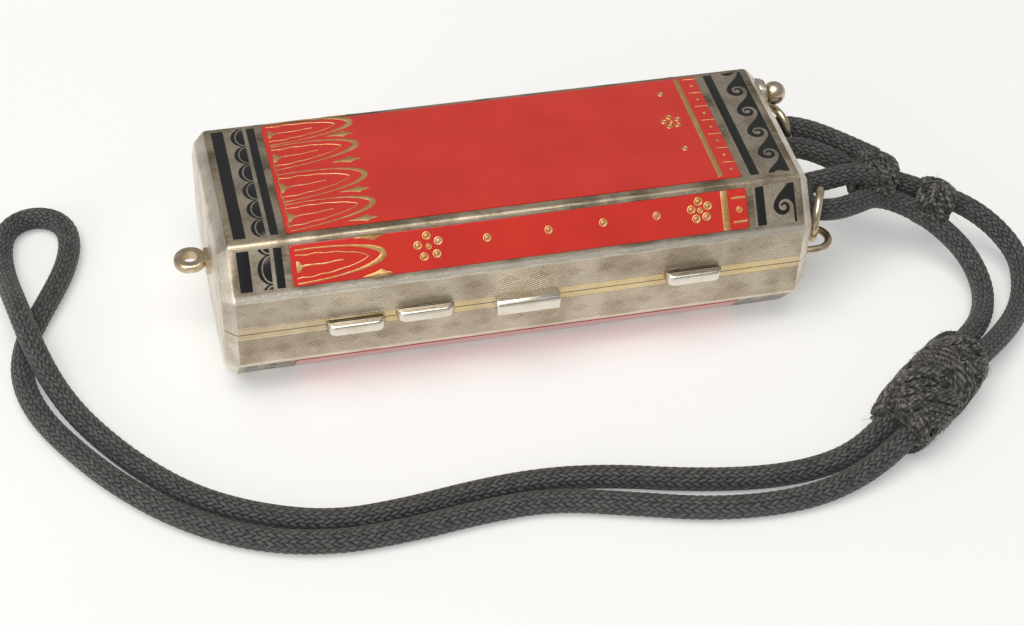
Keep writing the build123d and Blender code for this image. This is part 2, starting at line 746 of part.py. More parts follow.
with BuildPart() as tassel_eye:
    low = eye_z - eye_thickness / 2
    with BuildSketch(Plane.XY.offset(low)) as washer:
        with Locations((eye_x, 0)):
            Circle(eye_bore + eye_wire)
    extrude(washer.sketch, amount=eye_thickness)
    fillet(tassel_eye.edges().filter_by(GeomType.CIRCLE), radius=eye_round)
    neck_x = eye_x + eye_bore + eye_wire / 2
    with BuildSketch(Plane.YZ.offset(neck_x)) as neck_start:
        with Locations((0, eye_z)):
            Rectangle(*eye_neck_start)
    with BuildSketch(Plane.YZ.offset(-case_end)) as neck_end:
        with Locations((0, eye_z - eye_neck_drop)):
            Rectangle(*eye_neck_end)
    loft([neck_start.sketch.face(), neck_end.sketch.face()])
    with BuildSketch(Plane.YZ.offset(-case_end - eye_foot_thickness)) as foot:
        with Locations((0, eye_z - eye_foot_drop)):
            Circle(eye_foot_radius)
    extrude(foot.sketch, amount=eye_foot_thickness)
    block(-case_end - 2 * eye_foot_thickness, -case_end, -big, big, base_rim, big, Mode.SUBTRACT)
    with Locations((eye_x, 0, eye_z)):
        Cylinder(eye_bore, 2 * eye_thickness, mode=Mode.SUBTRACT)
tassel_eye.part.label = "tassel_eye"
export_step(tassel_eye.part, "parts/tassel_eye.step")

for name, side in (("front", -1), ("rear", 1)):
    with BuildPart() as staple:
        with BuildLine() as bent_wire:
            start_x = case_end - wall
            bend_x = case_end + staple_reach - staple_half
            y_low = side * staple_y - staple_half
            y_high = side * staple_y + staple_half
            Line((start_x, y_low, staple_z), (bend_x, y_low, staple_z))
            ThreePointArc(
                (bend_x, y_low, staple_z),
                (bend_x + staple_half, side * staple_y, staple_z),
                (bend_x, y_high, staple_z),
            )
            Line((bend_x, y_high, staple_z), (start_x, y_high, staple_z))
        with BuildSketch(Plane(origin=(start_x, y_low, staple_z), z_dir=(1, 0, 0))) as wire:
            Circle(staple_wire)
        sweep(wire.sketch, path=bent_wire.line)
    staple.part.label = f"staple_{name}"
    export_step(staple.part, f"parts/staple_{name}.step")

    turn = radians(ring_turn)
    facing = (cos(turn), side * sin(turn), 0)
    with BuildPart() as jump_ring:
        with Locations(Plane(origin=(ring_x, side * ring_y, ring_z), z_dir=facing).location):
            Torus(ring_radius, ring_wire)
    jump_ring.part.label = f"ring_{name}"
    export_step(jump_ring.part, f"parts/ring_{name}.step")

# ---- cord ----


def corner_radii(points):
    """Arc radius at each inner point: a share of the shorter run over the tangent of half the turn."""
    radii = []
    for before, here, after in zip(points, points[1:], points[2:]):
        run_in = Vector(here) - Vector(before)
        run_out = Vector(after) - Vector(here)
        turn = run_in.get_angle(run_out)
        radii.append(bend_share * min(run_in.length, run_out.length) / tan(radians(turn) / 2))
    return radii


cord_bends = corner_radii(cord_points)
print("cord bend radii:", [round(radius, 1) for radius in cord_bends])

with BuildPart() as wrist_cord:
    with BuildLine() as cord_path:
        FilletPolyline(*cord_points, radius=cord_bends)
    cord_line = cord_path.wires()[0]
    with BuildSketch(Plane(origin=cord_line @ 0, z_dir=cord_line % 0)) as strand:
        Circle(cord_radius)
    sweep(strand.sketch, path=cord_line)
print("cord length:", round(cord_line.length, 1))
print("cord volume:", round(wrist_cord.part.volume, 1))
print("cord section times length:", round(strand.sketch.area * cord_line.length, 1))
wrist_cord.part.label = "wrist_cord"
export_step(wrist_cord.part, "parts/wrist_cord.step")


def wrapping(centre, along, half_length, radius, end_radius):
    """A barrel-shaped wrapping about the cord, turned about its own axis."""
    with BuildSketch(Plane(origin=centre, x_dir=along, z_dir=along.cross(Vector(0, 0, 1)))) as barrel:
        with BuildLine():
            ThreePointArc((-half_length, end_radius), (0, radius), (half_length, end_radius))
            Polyline(
                (half_length, end_radius), (half_length, 0), (-half_length, 0), (-half_length, end_radius),
            )
        make_face()
    revolve(barrel.sketch, axis=Axis(centre, along))


for name, centre, along, sizes in (
    ("inner_knot", inner_knot_at, inner_knot_along, inner_knot_sizes),
    ("outer_knot", outer_knot_at, outer_knot_along, outer_knot_sizes),
    ("slide_bead", bead_at, bead_along, bead_sizes),
):
    with BuildPart() as knot:
        wrapping(centre, along, *sizes)
    knot.part.label = name
    export_step(knot.part, f"parts/{name}.step")
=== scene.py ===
"""Looks of an enamelled vanity case on a braided silk wrist cord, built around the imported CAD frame.

Sizes in the classes are millimetres in the CAD frame: X along the case towards the cord, the front wall
facing -Y, Z up, and the origin at the centre of the face that the case rests on.
"""
import logging
import math
from contextlib import contextmanager
from dataclasses import dataclass
from enum import Enum
from typing import Callable, Iterator, Sequence

import bmesh
import bpy
import numpy as np
from mathutils import Matrix, Vector


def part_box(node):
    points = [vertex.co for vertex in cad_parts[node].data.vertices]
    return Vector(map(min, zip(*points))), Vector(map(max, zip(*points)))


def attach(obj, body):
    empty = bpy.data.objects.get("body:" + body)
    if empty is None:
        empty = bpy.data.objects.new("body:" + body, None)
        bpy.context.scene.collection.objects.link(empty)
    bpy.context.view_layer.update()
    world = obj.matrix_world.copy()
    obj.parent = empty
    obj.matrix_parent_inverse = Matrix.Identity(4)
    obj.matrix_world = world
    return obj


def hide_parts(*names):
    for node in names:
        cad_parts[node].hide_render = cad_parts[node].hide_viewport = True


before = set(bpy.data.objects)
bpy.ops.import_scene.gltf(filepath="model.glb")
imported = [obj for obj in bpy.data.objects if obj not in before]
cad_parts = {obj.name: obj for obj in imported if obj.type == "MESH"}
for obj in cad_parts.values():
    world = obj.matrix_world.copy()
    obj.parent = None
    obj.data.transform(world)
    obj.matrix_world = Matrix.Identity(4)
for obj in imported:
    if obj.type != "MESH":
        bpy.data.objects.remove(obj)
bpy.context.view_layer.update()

MM = 0.001
LOG = logging.getLogger("vanity_case")
Point = tuple[float, float]
Triple = tuple[float, float, float]
Socket = bpy.types.NodeSocket
Piece = bpy.types.Object
Edge = bmesh.types.BMEdge


class Body(str, Enum):
    """CAD bodies that pieces ride on."""

    BASE = "base"
    LID = "lid"
    POWDER = "powder_flap"
    ROUGE = "rouge_flap"
    MIRROR = "mirror_flap"
    PENCIL = "pencil"


class Slot(str, Enum):
    """Names of the record's material slots, handed to each new piece's dressing but not used there."""

    SILVER = "silver"
    GILT = "gilt"
    RED = "red_enamel"
    BLACK = "black_enamel"
    PUFF = "puff"
    CORD = "cord"


# ---------------------------------------------------------------- node work


class NodeBench:
    """A new material with a Principled shader, and short ways to wire patterns into it."""

    def __init__(self, name: str) -> None:
        """Start a material.

        Args:
            name: Name of the material.
        """
        self.material = bpy.data.materials.new(name)
        self.material.use_nodes = True
        self.tree = self.material.node_tree
        self.shader = self.tree.nodes["Principled BSDF"]

    def set(self, **values: object) -> None:
        """Set plain values on the shader's own sockets, with underscores for spaces."""
        for name, value in values.items():
            self.shader.inputs[name.replace("_", " ")].default_value = value

    def add(self, kind: str, inputs: dict | None = None, **settings: object) -> bpy.types.Node:
        """Add a node.

        Args:
            kind: Node type without its ShaderNode prefix.
            inputs: Input names or indices, each with a socket to link or a value.
            settings: Properties of the node itself.

        Returns:
            The new node.
        """
        node = self.tree.nodes.new("ShaderNode" + kind)
        for name, value in settings.items():
            setattr(node, name, value)
        for name, value in (inputs or {}).items():
            if isinstance(value, Socket):
                self.tree.links.new(value, node.inputs[name])
            else:
                node.inputs[name].default_value = value
        return node

    def link(self, socket: Socket, name: str) -> None:
        """Link a socket to one of the shader's inputs."""
        self.tree.links.new(socket, self.shader.inputs[name])

    def millimetres(self, stretch: Sequence[float] = (1, 1, 1)) -> Socket:
        """Object coordinates in millimetres, stretched along each axis.

        Args:
            stretch: Factor for each axis.

        Returns:
            The vector socket.
        """
        coords = self.add("TexCoord").outputs["Object"]
        scale = tuple(factor / MM for factor in stretch)
        return self.add("Mapping", {"Vector": coords, "Scale": scale}).outputs["Vector"]

    def math(self, operation: str, *values: object, clamp: bool = False) -> Socket:
        """One arithmetic step on sockets or numbers."""
        inputs = {index: value for index, value in enumerate(values)}
        return self.add("Math", inputs, operation=operation, use_clamp=clamp).outputs[0]

    def times(self, *values: object, clamp: bool = False) -> Socket:
        """One value times another."""
        return self.math("MULTIPLY", *values, clamp=clamp)

    def plus(self, *values: object, clamp: bool = False) -> Socket:
        """One value plus another."""
        return self.math("ADD", *values, clamp=clamp)

    def minus(self, *values: object, clamp: bool = False) -> Socket:
        """One value less another."""
        return self.math("SUBTRACT", *values, clamp=clamp)

    def noise(self, vector: Socket, scale: float, detail: float = 3.0) -> Socket:
        """Soft random pattern of the given scale per millimetre."""
        inputs = {"Vector": vector, "Scale": scale, "Detail": detail}
        return self.add("TexNoise", inputs).outputs["Fac"]

    def span(self, value: Socket, low: float, high: float,
             out_low: float = 0.0, out_high: float = 1.0) -> Socket:
        """Map a range smoothly onto another.

        Args:
            value: The socket to map.
            low: Input that gives out_low.
            high: Input that gives out_high.
            out_low: Lowest output.
            out_high: Highest output.

        Returns:
            The mapped socket.
        """
        inputs = {"Value": value, "From Min": low, "From Max": high, "To Min": out_low, "To Max": out_high}
        return self.add("MapRange", inputs, interpolation_type="SMOOTHSTEP").outputs["Result"]

    def mix(self, factor: object, first: object, second: object) -> Socket:
        """Blend two colours."""
        node = self.add("Mix", data_type="RGBA")
        for index, value in ((0, factor), (6, first), (7, second)):
            if isinstance(value, Socket):
                self.tree.links.new(value, node.inputs[index])
            else:
                node.inputs[index].default_value = value if index == 0 else (*value, 1)
        return node.outputs[2]

    def relief(self, height: Socket, depth: float, strength: float = 1.0,
               under: Socket | None = None) -> Socket:
        """Bump from a height pattern.

        Args:
            height: Height from 0 to 1.
            depth: Depth of the pattern in millimetres.
            strength: Strength of the bump.
            under: Normal that the bump goes over.

        Returns:
            The normal socket.
        """
        inputs = {"Height": height, "Distance": depth * MM, "Strength": strength}
        if under is not None:
            inputs["Normal"] = under
        return self.add("Bump", inputs).outputs["Normal"]


@dataclass(frozen=True)
class WornSilver:
    """Aged silver: warm, softly brushed along X, pitted, and browner outside an optional bright band within a
    set distance of the seam, which stands for rubbed wear and a painted edge highlight.
    """

    name: str = "worn_silver"
    bright: Triple = (0.83, 0.765, 0.65)
    dull: Triple = (0.40, 0.345, 0.265)
    grime: float = 0.55
    roughness: float = 0.34
    grain: Triple = (0.5, 9.0, 9.0)
    rubbed: float = 0.0
    rub_fade: float = 0.25
    rubbed_highlight_colour: Triple = (0.80, 0.74, 0.63)
    seam: float = 11.8

    def material(self) -> bpy.types.Material:
        """Build the material."""
        bench = NodeBench(self.name)
        place = bench.millimetres()
        brushed = bench.noise(bench.millimetres(self.grain), 1.0, 2.0)
        cloud = bench.noise(place, 0.22, 6.0)
        speck = bench.noise(place, 3.2, 4.0)
        tarnish = bench.times(bench.span(cloud, 0.38, 0.66), self.grime)
        tarnish = bench.plus(tarnish, bench.span(speck, 0.60, 0.78, 0.0, 0.35), clamp=True)
        tarnish = bench.plus(tarnish, bench.span(brushed, 0.38, 0.64, -0.18, 0.26), clamp=True)
        # Within the rubbed distance of the seam the silver is kept bright and barely tarnished: rubbed wear,
        # plus a painted highlight along the edges this band falls on.
        if self.rubbed:
            up = bench.add("SeparateXYZ", {"Vector": place}).outputs["Z"]
            away = bench.math("ABSOLUTE", bench.minus(up, self.seam))
            near, far = self.rubbed - self.rub_fade, self.rubbed + self.rub_fade
            tarnish = bench.times(tarnish, bench.span(away, near, far, 0.1, 1.0))
            bright = bench.mix(bench.span(away, near, far), self.rubbed_highlight_colour, self.bright)
            bench.link(bench.mix(tarnish, bright, self.dull), "Base Color")
        else:
            bench.link(bench.mix(tarnish, self.bright, self.dull), "Base Color")
        rough = bench.plus(bench.span(speck, 0.3, 0.8, self.roughness - 0.06, self.roughness + 0.16),
                           bench.times(brushed, 0.08))
        bench.link(rough, "Roughness")
        pits = bench.add("TexVoronoi", {"Vector": place, "Scale": 1.6}).outputs["Distance"]
        normal = bench.relief(brushed, 0.016)
        normal = bench.relief(bench.span(pits, 0.0, 0.16), 0.02, 0.5, normal)
        bench.link(bench.relief(speck, 0.012, 0.7, normal), "Normal")
        bench.set(Metallic=1.0)
        return bench.material


@dataclass(frozen=True)
class EngineTurned:
    """Long walls of the case: fine wavy engraving, rows of small diamonds, gilt rims at the seam."""

    name: str = "engine_turned_silver"
    line_pitch: float = 0.355
    line_slope: float = 0.62
    cross_pitch: float = 0.52
    cross_slope: float = 0.40
    diamond_pitch: float = 4.66
    lid_row: float = 15.6
    base_row: float = 8.55
    lid_start: float = 2.0
    base_start: float = 3.3
    diamond_half: tuple[float, float] = (1.5, 0.82)
    seam: float = 11.8
    rim_low: float = 0.98
    rim_high: float = 1.10
    border_low: float = 6.35
    border_high: float = 17.3
    silver_bright: Triple = (0.80, 0.715, 0.575)
    silver_dull: Triple = (0.32, 0.25, 0.17)
    gilt_bright: Triple = (0.78, 0.63, 0.35)
    gilt_dull: Triple = (0.46, 0.33, 0.16)

    def diamonds(self, bench: NodeBench, along: Socket, up: Socket,
                 row: float, start: float) -> Socket:
        """Mask of one row of diamonds.

        Args:
            bench: The material in hand.
            along: Distance along the wall.
            up: Height on the wall.
            row: Height of the row.
            start: Where along the wall one diamond is centred.

        Returns:
            1 inside the diamonds, falling to 0 outside.
        """
        shifted = bench.minus(along, start)
        nearest = bench.math("PINGPONG", shifted, self.diamond_pitch / 2)
        across = bench.math("DIVIDE", nearest, self.diamond_half[0])
        height = bench.math("DIVIDE", bench.math("ABSOLUTE", bench.minus(up, row)),
                            self.diamond_half[1])
        return bench.span(bench.plus(across, height), 1.12, 0.92)

    def rim_line(self, bench: NodeBench, up: Socket, level: float) -> Socket:
        """Mask of the fine raised line that borders a gilt rim."""
        return bench.span(bench.math("ABSOLUTE", bench.minus(up, level)), 0.13, 0.02)

    def material(self) -> bpy.types.Material:
        """Build the material."""
        bench = NodeBench(self.name)
        place = bench.millimetres()
        split = bench.add("SeparateXYZ", {"Vector": place})
        along, up = split.outputs["X"], split.outputs["Z"]
        turn = math.tau / self.line_pitch
        ripple = bench.times(bench.noise(place, 0.5, 1.0), 0.10)
        lean = bench.times(along, self.line_slope)
        level = bench.plus(bench.plus(up, ripple), lean)
        lines = bench.span(bench.math("SINE", bench.times(level, turn)), -0.75, 0.75)
        cross = bench.minus(up, bench.times(along, self.cross_slope))
        cross_wave = bench.math("SINE", bench.times(cross, math.tau / self.cross_pitch))
        marks = bench.span(cross_wave, -0.5, 0.3, 0.64, 1.0)
        masks = [self.diamonds(bench, along, up, row, start)
                 for row, start in ((self.lid_row, self.lid_start), (self.base_row, self.base_start))]
        diamond = bench.math("MAXIMUM", masks[0], masks[1])
        marked = bench.times(marks, diamond)
        crossed = bench.plus(bench.minus(1.0, diamond), marked)
        lined = bench.plus(bench.times(lines, 0.75), 0.25)
        engraved = bench.times(lined, crossed)
        over = bench.times(bench.math("GREATER_THAN", up, self.seam - self.rim_low),
                           bench.math("LESS_THAN", up, self.seam + self.rim_high))
        edge = bench.plus(bench.math("GREATER_THAN", up, self.border_high),
                          bench.math("LESS_THAN", up, self.border_low))
        plain = bench.plus(over, edge, clamp=True)
        cut = bench.times(engraved, bench.minus(1.0, plain))
        cloud = bench.noise(place, 0.16, 5.0)
        speck = bench.noise(place, 2.6, 3.0)
        gilt_wear = bench.span(bench.noise(place, 0.09, 3.0), 0.35, 0.62, 0.45, 1.0)
        gilded = bench.times(over, gilt_wear)
        bright = bench.mix(gilded, self.silver_bright, self.gilt_bright)
        dull = bench.mix(gilded, self.silver_dull, self.gilt_dull)
        wear = bench.times(bench.span(cloud, 0.34, 0.70), 0.5)
        groove = bench.times(bench.minus(bench.minus(1.0, plain), cut),
                             bench.plus(bench.times(diamond, 0.22), 0.62))
        shade = bench.plus(wear, bench.plus(groove, bench.span(speck, 0.55, 0.8, 0.0, 0.2)),
                           clamp=True)
        bench.link(bench.mix(shade, bright, dull), "Base Color")
        bench.link(bench.span(speck, 0.3, 0.8, 0.36, 0.52), "Roughness")
        bead = bench.plus(self.rim_line(bench, up, self.seam - self.rim_low),
                          self.rim_line(bench, up, self.seam + self.rim_high))
        normal = bench.relief(bead, 0.10, 1.0, bench.relief(cut, 0.05))
        bench.link(bench.relief(speck, 0.012, 0.6, normal), "Normal")
        bench.set(Metallic=1.0)
        return bench.material


@dataclass(frozen=True)
class GlossEnamel:
    """Vitreous enamel: deep colour under a polished surface with faint clouds, pinholes and scratches."""

    name: str
    colour: Triple
    deep: Triple
    roughness: float = 0.16
    coat: float = 0.7

    def material(self) -> bpy.types.Material:
        """Build the material."""
        bench = NodeBench(self.name)
        place = bench.millimetres()
        cloud = bench.noise(place, 0.12, 4.0)
        fine = bench.noise(place, 5.0, 2.0)
        scratch = bench.noise(bench.millimetres((0.35, 7.0, 7.0)), 1.0, 1.0)
        pin = bench.add("TexVoronoi", {"Vector": place, "Scale": 0.55}).outputs["Distance"]
        pinhole = bench.span(pin, 0.0, 0.055)
        shade = bench.span(bench.plus(cloud, bench.times(fine, 0.12)), 0.40, 0.72)
        colour = bench.mix(shade, self.colour, self.deep)
        bench.link(bench.mix(pinhole, tuple(c * 0.45 for c in self.deep), colour), "Base Color")
        bench.link(bench.span(scratch, 0.66, 0.80, self.roughness, self.roughness + 0.08), "Roughness")
        normal = bench.relief(cloud, 0.05, 0.5)
        normal = bench.relief(pinhole, 0.02, 0.6, normal)
        bench.link(bench.relief(scratch, 0.0008, 0.5, normal), "Normal")
        bench.set(Coat_Weight=self.coat, Coat_Roughness=0.05, Specular_IOR_Level=0.5)
        return bench.material


@dataclass(frozen=True)
class SatinGilt:
    """Gilded metal: dull yellow gold with a fine grain, rubbed pale here and there."""

    name: str = "satin_gilt"
    gold: Triple = (0.78, 0.58, 0.28)
    rubbed: Triple = (0.86, 0.76, 0.56)
    roughness: float = 0.34
    depth: float = 0.010
    spread: float = 0.14

    def material(self) -> bpy.types.Material:
        """Build the material."""
        bench = NodeBench(self.name)
        place = bench.millimetres()
        cloud = bench.noise(place, 0.35, 5.0)
        grain = bench.noise(bench.millimetres((1.0, 8.0, 8.0)), 1.2, 2.0)
        speck = bench.noise(place, 4.0, 3.0)
        specks = bench.span(speck, 0.6, 0.8, 0.0, 0.4)
        wear = bench.plus(bench.span(cloud, 0.45, 0.70), specks, clamp=True)
        bench.link(bench.mix(wear, self.gold, self.rubbed), "Base Color")
        bench.link(bench.span(grain, 0.3, 0.7, self.roughness - self.spread / 2,
                              self.roughness + self.spread), "Roughness")
        normal = bench.relief(grain, self.depth)
        bench.link(bench.relief(speck, self.depth, 0.6, normal), "Normal")
        bench.set(Metallic=1.0)
        return bench.material


@dataclass(frozen=True)
class BraidedSilk:
    """Black silk braid: each plait painted darker towards its grooves as painted shade, with threads along it
    that carry painted sheen streaks, and a thin grey sheen.
    """

    name: str = "braided_silk"
    # The groove colour is painted shade in the hollows between the plaits.
    groove: Triple = (0.004, 0.004, 0.0045)
    thread: Triple = (0.105, 0.102, 0.097)

    @staticmethod
    def strand(bench: NodeBench, own: Socket, other: Socket,
               sign: int) -> Socket:
        """Height of the strands of one hand, which go over two and under two of the other.

        Args:
            bench: The material in hand.
            own: Place across these strands.
            other: Place across the other hand's strands.
            sign: 1 for one hand, -1 for the other.

        Returns:
            The height socket.
        """
        lean = bench.minus(bench.times(bench.math("FRACT", own), 2.0), 1.0)
        back = bench.math("SQRT", bench.minus(1.0, bench.times(lean, lean), clamp=True))
        phase = bench.times(bench.plus(bench.math("FLOOR", own), other), math.pi / 2)
        rise = bench.times(bench.math("SINE", phase), 0.45 * sign)
        return bench.plus(bench.times(back, 0.55), rise)

    def material(self) -> bpy.types.Material:
        """Build the material."""
        bench = NodeBench(self.name)
        uv = bench.add("UVMap", uv_map="plait").outputs["UV"]
        split = bench.add("SeparateXYZ", {"Vector": uv})
        hands = (split.outputs["X"], split.outputs["Y"])
        tops = [self.strand(bench, own, other, sign)
                for own, other, sign in ((hands[0], hands[1], 1),
                                         (hands[1], hands[0], -1))]
        height = bench.math("MAXIMUM", tops[0], tops[1], clamp=True)
        lead = bench.math("GREATER_THAN", tops[0], tops[1])
        first, second = [
            bench.noise(bench.add("Mapping", {"Vector": uv, "Scale": scale}).outputs[0], 1.0, 2.0)
            for scale in ((7.0, 0.7, 1.0), (0.7, 7.0, 1.0))]
        threads = bench.plus(bench.times(first, lead),
                             bench.times(second, bench.minus(1.0, lead)))
        fluff = bench.noise(bench.millimetres(), 1.1, 3.0)
        # Painted sheen: the thread pattern brightens and darkens the colour along the strands.
        sheen = bench.span(threads, 0.34, 0.66, 0.22, 1.45)
        # Painted shade: the colour falls towards the groove colour as the plait's height drops.
        tone = bench.times(bench.span(height, 0.30, 0.98), sheen)
        tone = bench.times(tone, bench.span(fluff, 0.3, 0.7, 0.6, 1.3), clamp=True)
        bench.link(bench.mix(tone, self.groove, self.thread), "Base Color")
        bench.link(bench.span(threads, 0.3, 0.7, 0.46, 0.66), "Roughness")
        bench.link(bench.relief(threads, 0.05, 0.8, bench.relief(height, 0.24)), "Normal")
        bench.set(Sheen_Weight=0.22, Sheen_Roughness=0.45, Sheen_Tint=(0.80, 0.79, 0.76, 1),
                  Specular_IOR_Level=0.32)
        return bench.material


@dataclass(frozen=True)
class SpunThread:
    """A single spun silk thread of the woven bead and the knots, twisted and slightly hairy, with painted
    shade between the plies of its twist.
    """

    name: str = "spun_thread"
    dark: Triple = (0.006, 0.006, 0.006)
    light: Triple = (0.21, 0.198, 0.178)

    def material(self) -> bpy.types.Material:
        """Build the material."""
        bench = NodeBench(self.name)
        place = bench.millimetres()
        uv = bench.add("UVMap", uv_map="thread").outputs["UV"]
        split = bench.add("SeparateXYZ", {"Vector": uv})
        ply = bench.plus(bench.times(split.outputs["X"], 2.0), split.outputs["Y"])
        twist = bench.span(bench.math("SINE", bench.times(ply, math.tau)), -0.8, 0.9)
        cloud = bench.noise(place, 1.3, 4.0)
        fleck = bench.noise(place, 4.5, 2.0)
        # Painted shade: the twist pattern darkens the colour between the plies.
        tone = bench.times(bench.span(cloud, 0.38, 0.66, 0.08, 0.9),
                           bench.plus(bench.times(twist, 0.75), 0.25))
        tone = bench.plus(tone, bench.span(fleck, 0.64, 0.80, 0.0, 0.30), clamp=True)
        bench.link(bench.mix(tone, self.dark, self.light), "Base Color")
        bench.link(bench.span(fleck, 0.3, 0.7, 0.5, 0.7), "Roughness")
        bench.link(bench.relief(twist, 0.04), "Normal")
        bench.set(Sheen_Weight=0.3, Sheen_Roughness=0.4, Sheen_Tint=(0.85, 0.82, 0.76, 1),
                  Specular_IOR_Level=0.35)
        return bench.material


@dataclass(frozen=True)
class SoftFinish:
    """Powders, cloth, wax, lacquer and glass: a mottled colour with its own grain, gloss and metal share."""

    name: str
    light: Triple
    dark: Triple
    roughness: float
    scale: float
    depth: float
    stretch: Triple = (1, 1, 1)
    metallic: float = 0.0
    sheen: float = 0.0
    coat: float = 0.0

    def material(self) -> bpy.types.Material:
        """Build the material."""
        bench = NodeBench(self.name)
        place = bench.millimetres(self.stretch)
        grain = bench.noise(place, self.scale, 5.0)
        cloud = bench.noise(bench.millimetres(), 0.3, 3.0)
        mottle = bench.plus(bench.times(grain, 0.7), bench.times(cloud, 0.3))
        bench.link(bench.mix(bench.span(mottle, 0.36, 0.66), self.light, self.dark), "Base Color")
        high = min(1.0, self.roughness * 1.25)
        bench.link(bench.span(grain, 0.3, 0.7, self.roughness * 0.85, high), "Roughness")
        bench.link(bench.relief(grain, self.depth), "Normal")
        bench.set(Metallic=self.metallic, Sheen_Weight=self.sheen, Coat_Weight=self.coat)
        return bench.material


class Finishes:
    """Every finish of the object, built once."""

    def __init__(self) -> None:
        """Build the materials."""
        self.silver = WornSilver().material()
        self.polished = SatinGilt("burnished_silver", (0.80, 0.75, 0.66), (0.72, 0.66, 0.55), 0.25,
                                  0.0003, 0.03).material()
        self.wire = SatinGilt("aged_wire", (0.58, 0.47, 0.32), (0.78, 0.70, 0.56), 0.27, 0.002,
                              0.08).material()
        # Border strips: brighter and less tarnished up to 6.45 from the seam, which falls on their edges by
        # the walls; this is rubbed wear plus a painted edge highlight.
        self.ridge = WornSilver("border_silver", (0.54, 0.455, 0.335), (0.20, 0.155, 0.10), 0.8, 0.36,
                                (0.35, 11.0, 11.0), 6.45).material()
        self.plate = WornSilver("band_silver", (0.52, 0.455, 0.36), (0.27, 0.225, 0.165), 0.6, 0.40,
                                (5.0, 2.0, 5.0)).material()
        self.walls = EngineTurned().material()
        self.red = GlossEnamel("red_enamel", (0.585, 0.023, 0.010), (0.535, 0.018, 0.008)).material()
        self.black = GlossEnamel("black_enamel", (0.009, 0.008, 0.008), (0.005, 0.005, 0.005), 0.22,
                                  0.25).material()
        self.gold = SatinGilt("gold_line", (0.80, 0.47, 0.18), (0.88, 0.62, 0.33), 0.36, 0.02).material()
        self.gilt = SatinGilt().material()
        self.braid = BraidedSilk().material()
        self.thread = SpunThread().material()
        self.wadding = SoftFinish("cord_wadding", (0.020, 0.019, 0.018), (0.006, 0.006, 0.006), 0.8, 3.0, 0.1,
                                  sheen=0.2).material()
        self.fibre = SoftFinish("loose_fibre", (0.24, 0.22, 0.19), (0.10, 0.09, 0.08), 0.6, 2.0,
                                0.01).material()
        self.glass = SoftFinish("silvered_glass", (0.88, 0.90, 0.90), (0.84, 0.86, 0.86), 0.03, 0.6, 0.0,
                                metallic=1.0).material()
        self.powder = SoftFinish("pressed_powder", (0.80, 0.60, 0.48), (0.72, 0.51, 0.40), 0.85, 5.0,
                                 0.03).material()
        self.rouge = SoftFinish("pressed_rouge", (0.62, 0.15, 0.14), (0.50, 0.10, 0.10), 0.85, 5.0,
                                0.03).material()
        self.velour = SoftFinish("puff_velour", (0.90, 0.80, 0.72), (0.80, 0.68, 0.60), 0.95, 7.0, 0.08,
                                 sheen=0.6).material()
        self.wax = SoftFinish("lip_wax", (0.50, 0.025, 0.04), (0.42, 0.018, 0.03), 0.32, 1.4, 0.01,
                              coat=0.3).material()
        self.lacquer = SoftFinish("pencil_lacquer", (0.020, 0.012, 0.010), (0.012, 0.008, 0.007), 0.18,
                                  1.0, 0.004, (0.4, 3.0, 3.0), coat=0.8).material()


# ---------------------------------------------------------------- mesh work


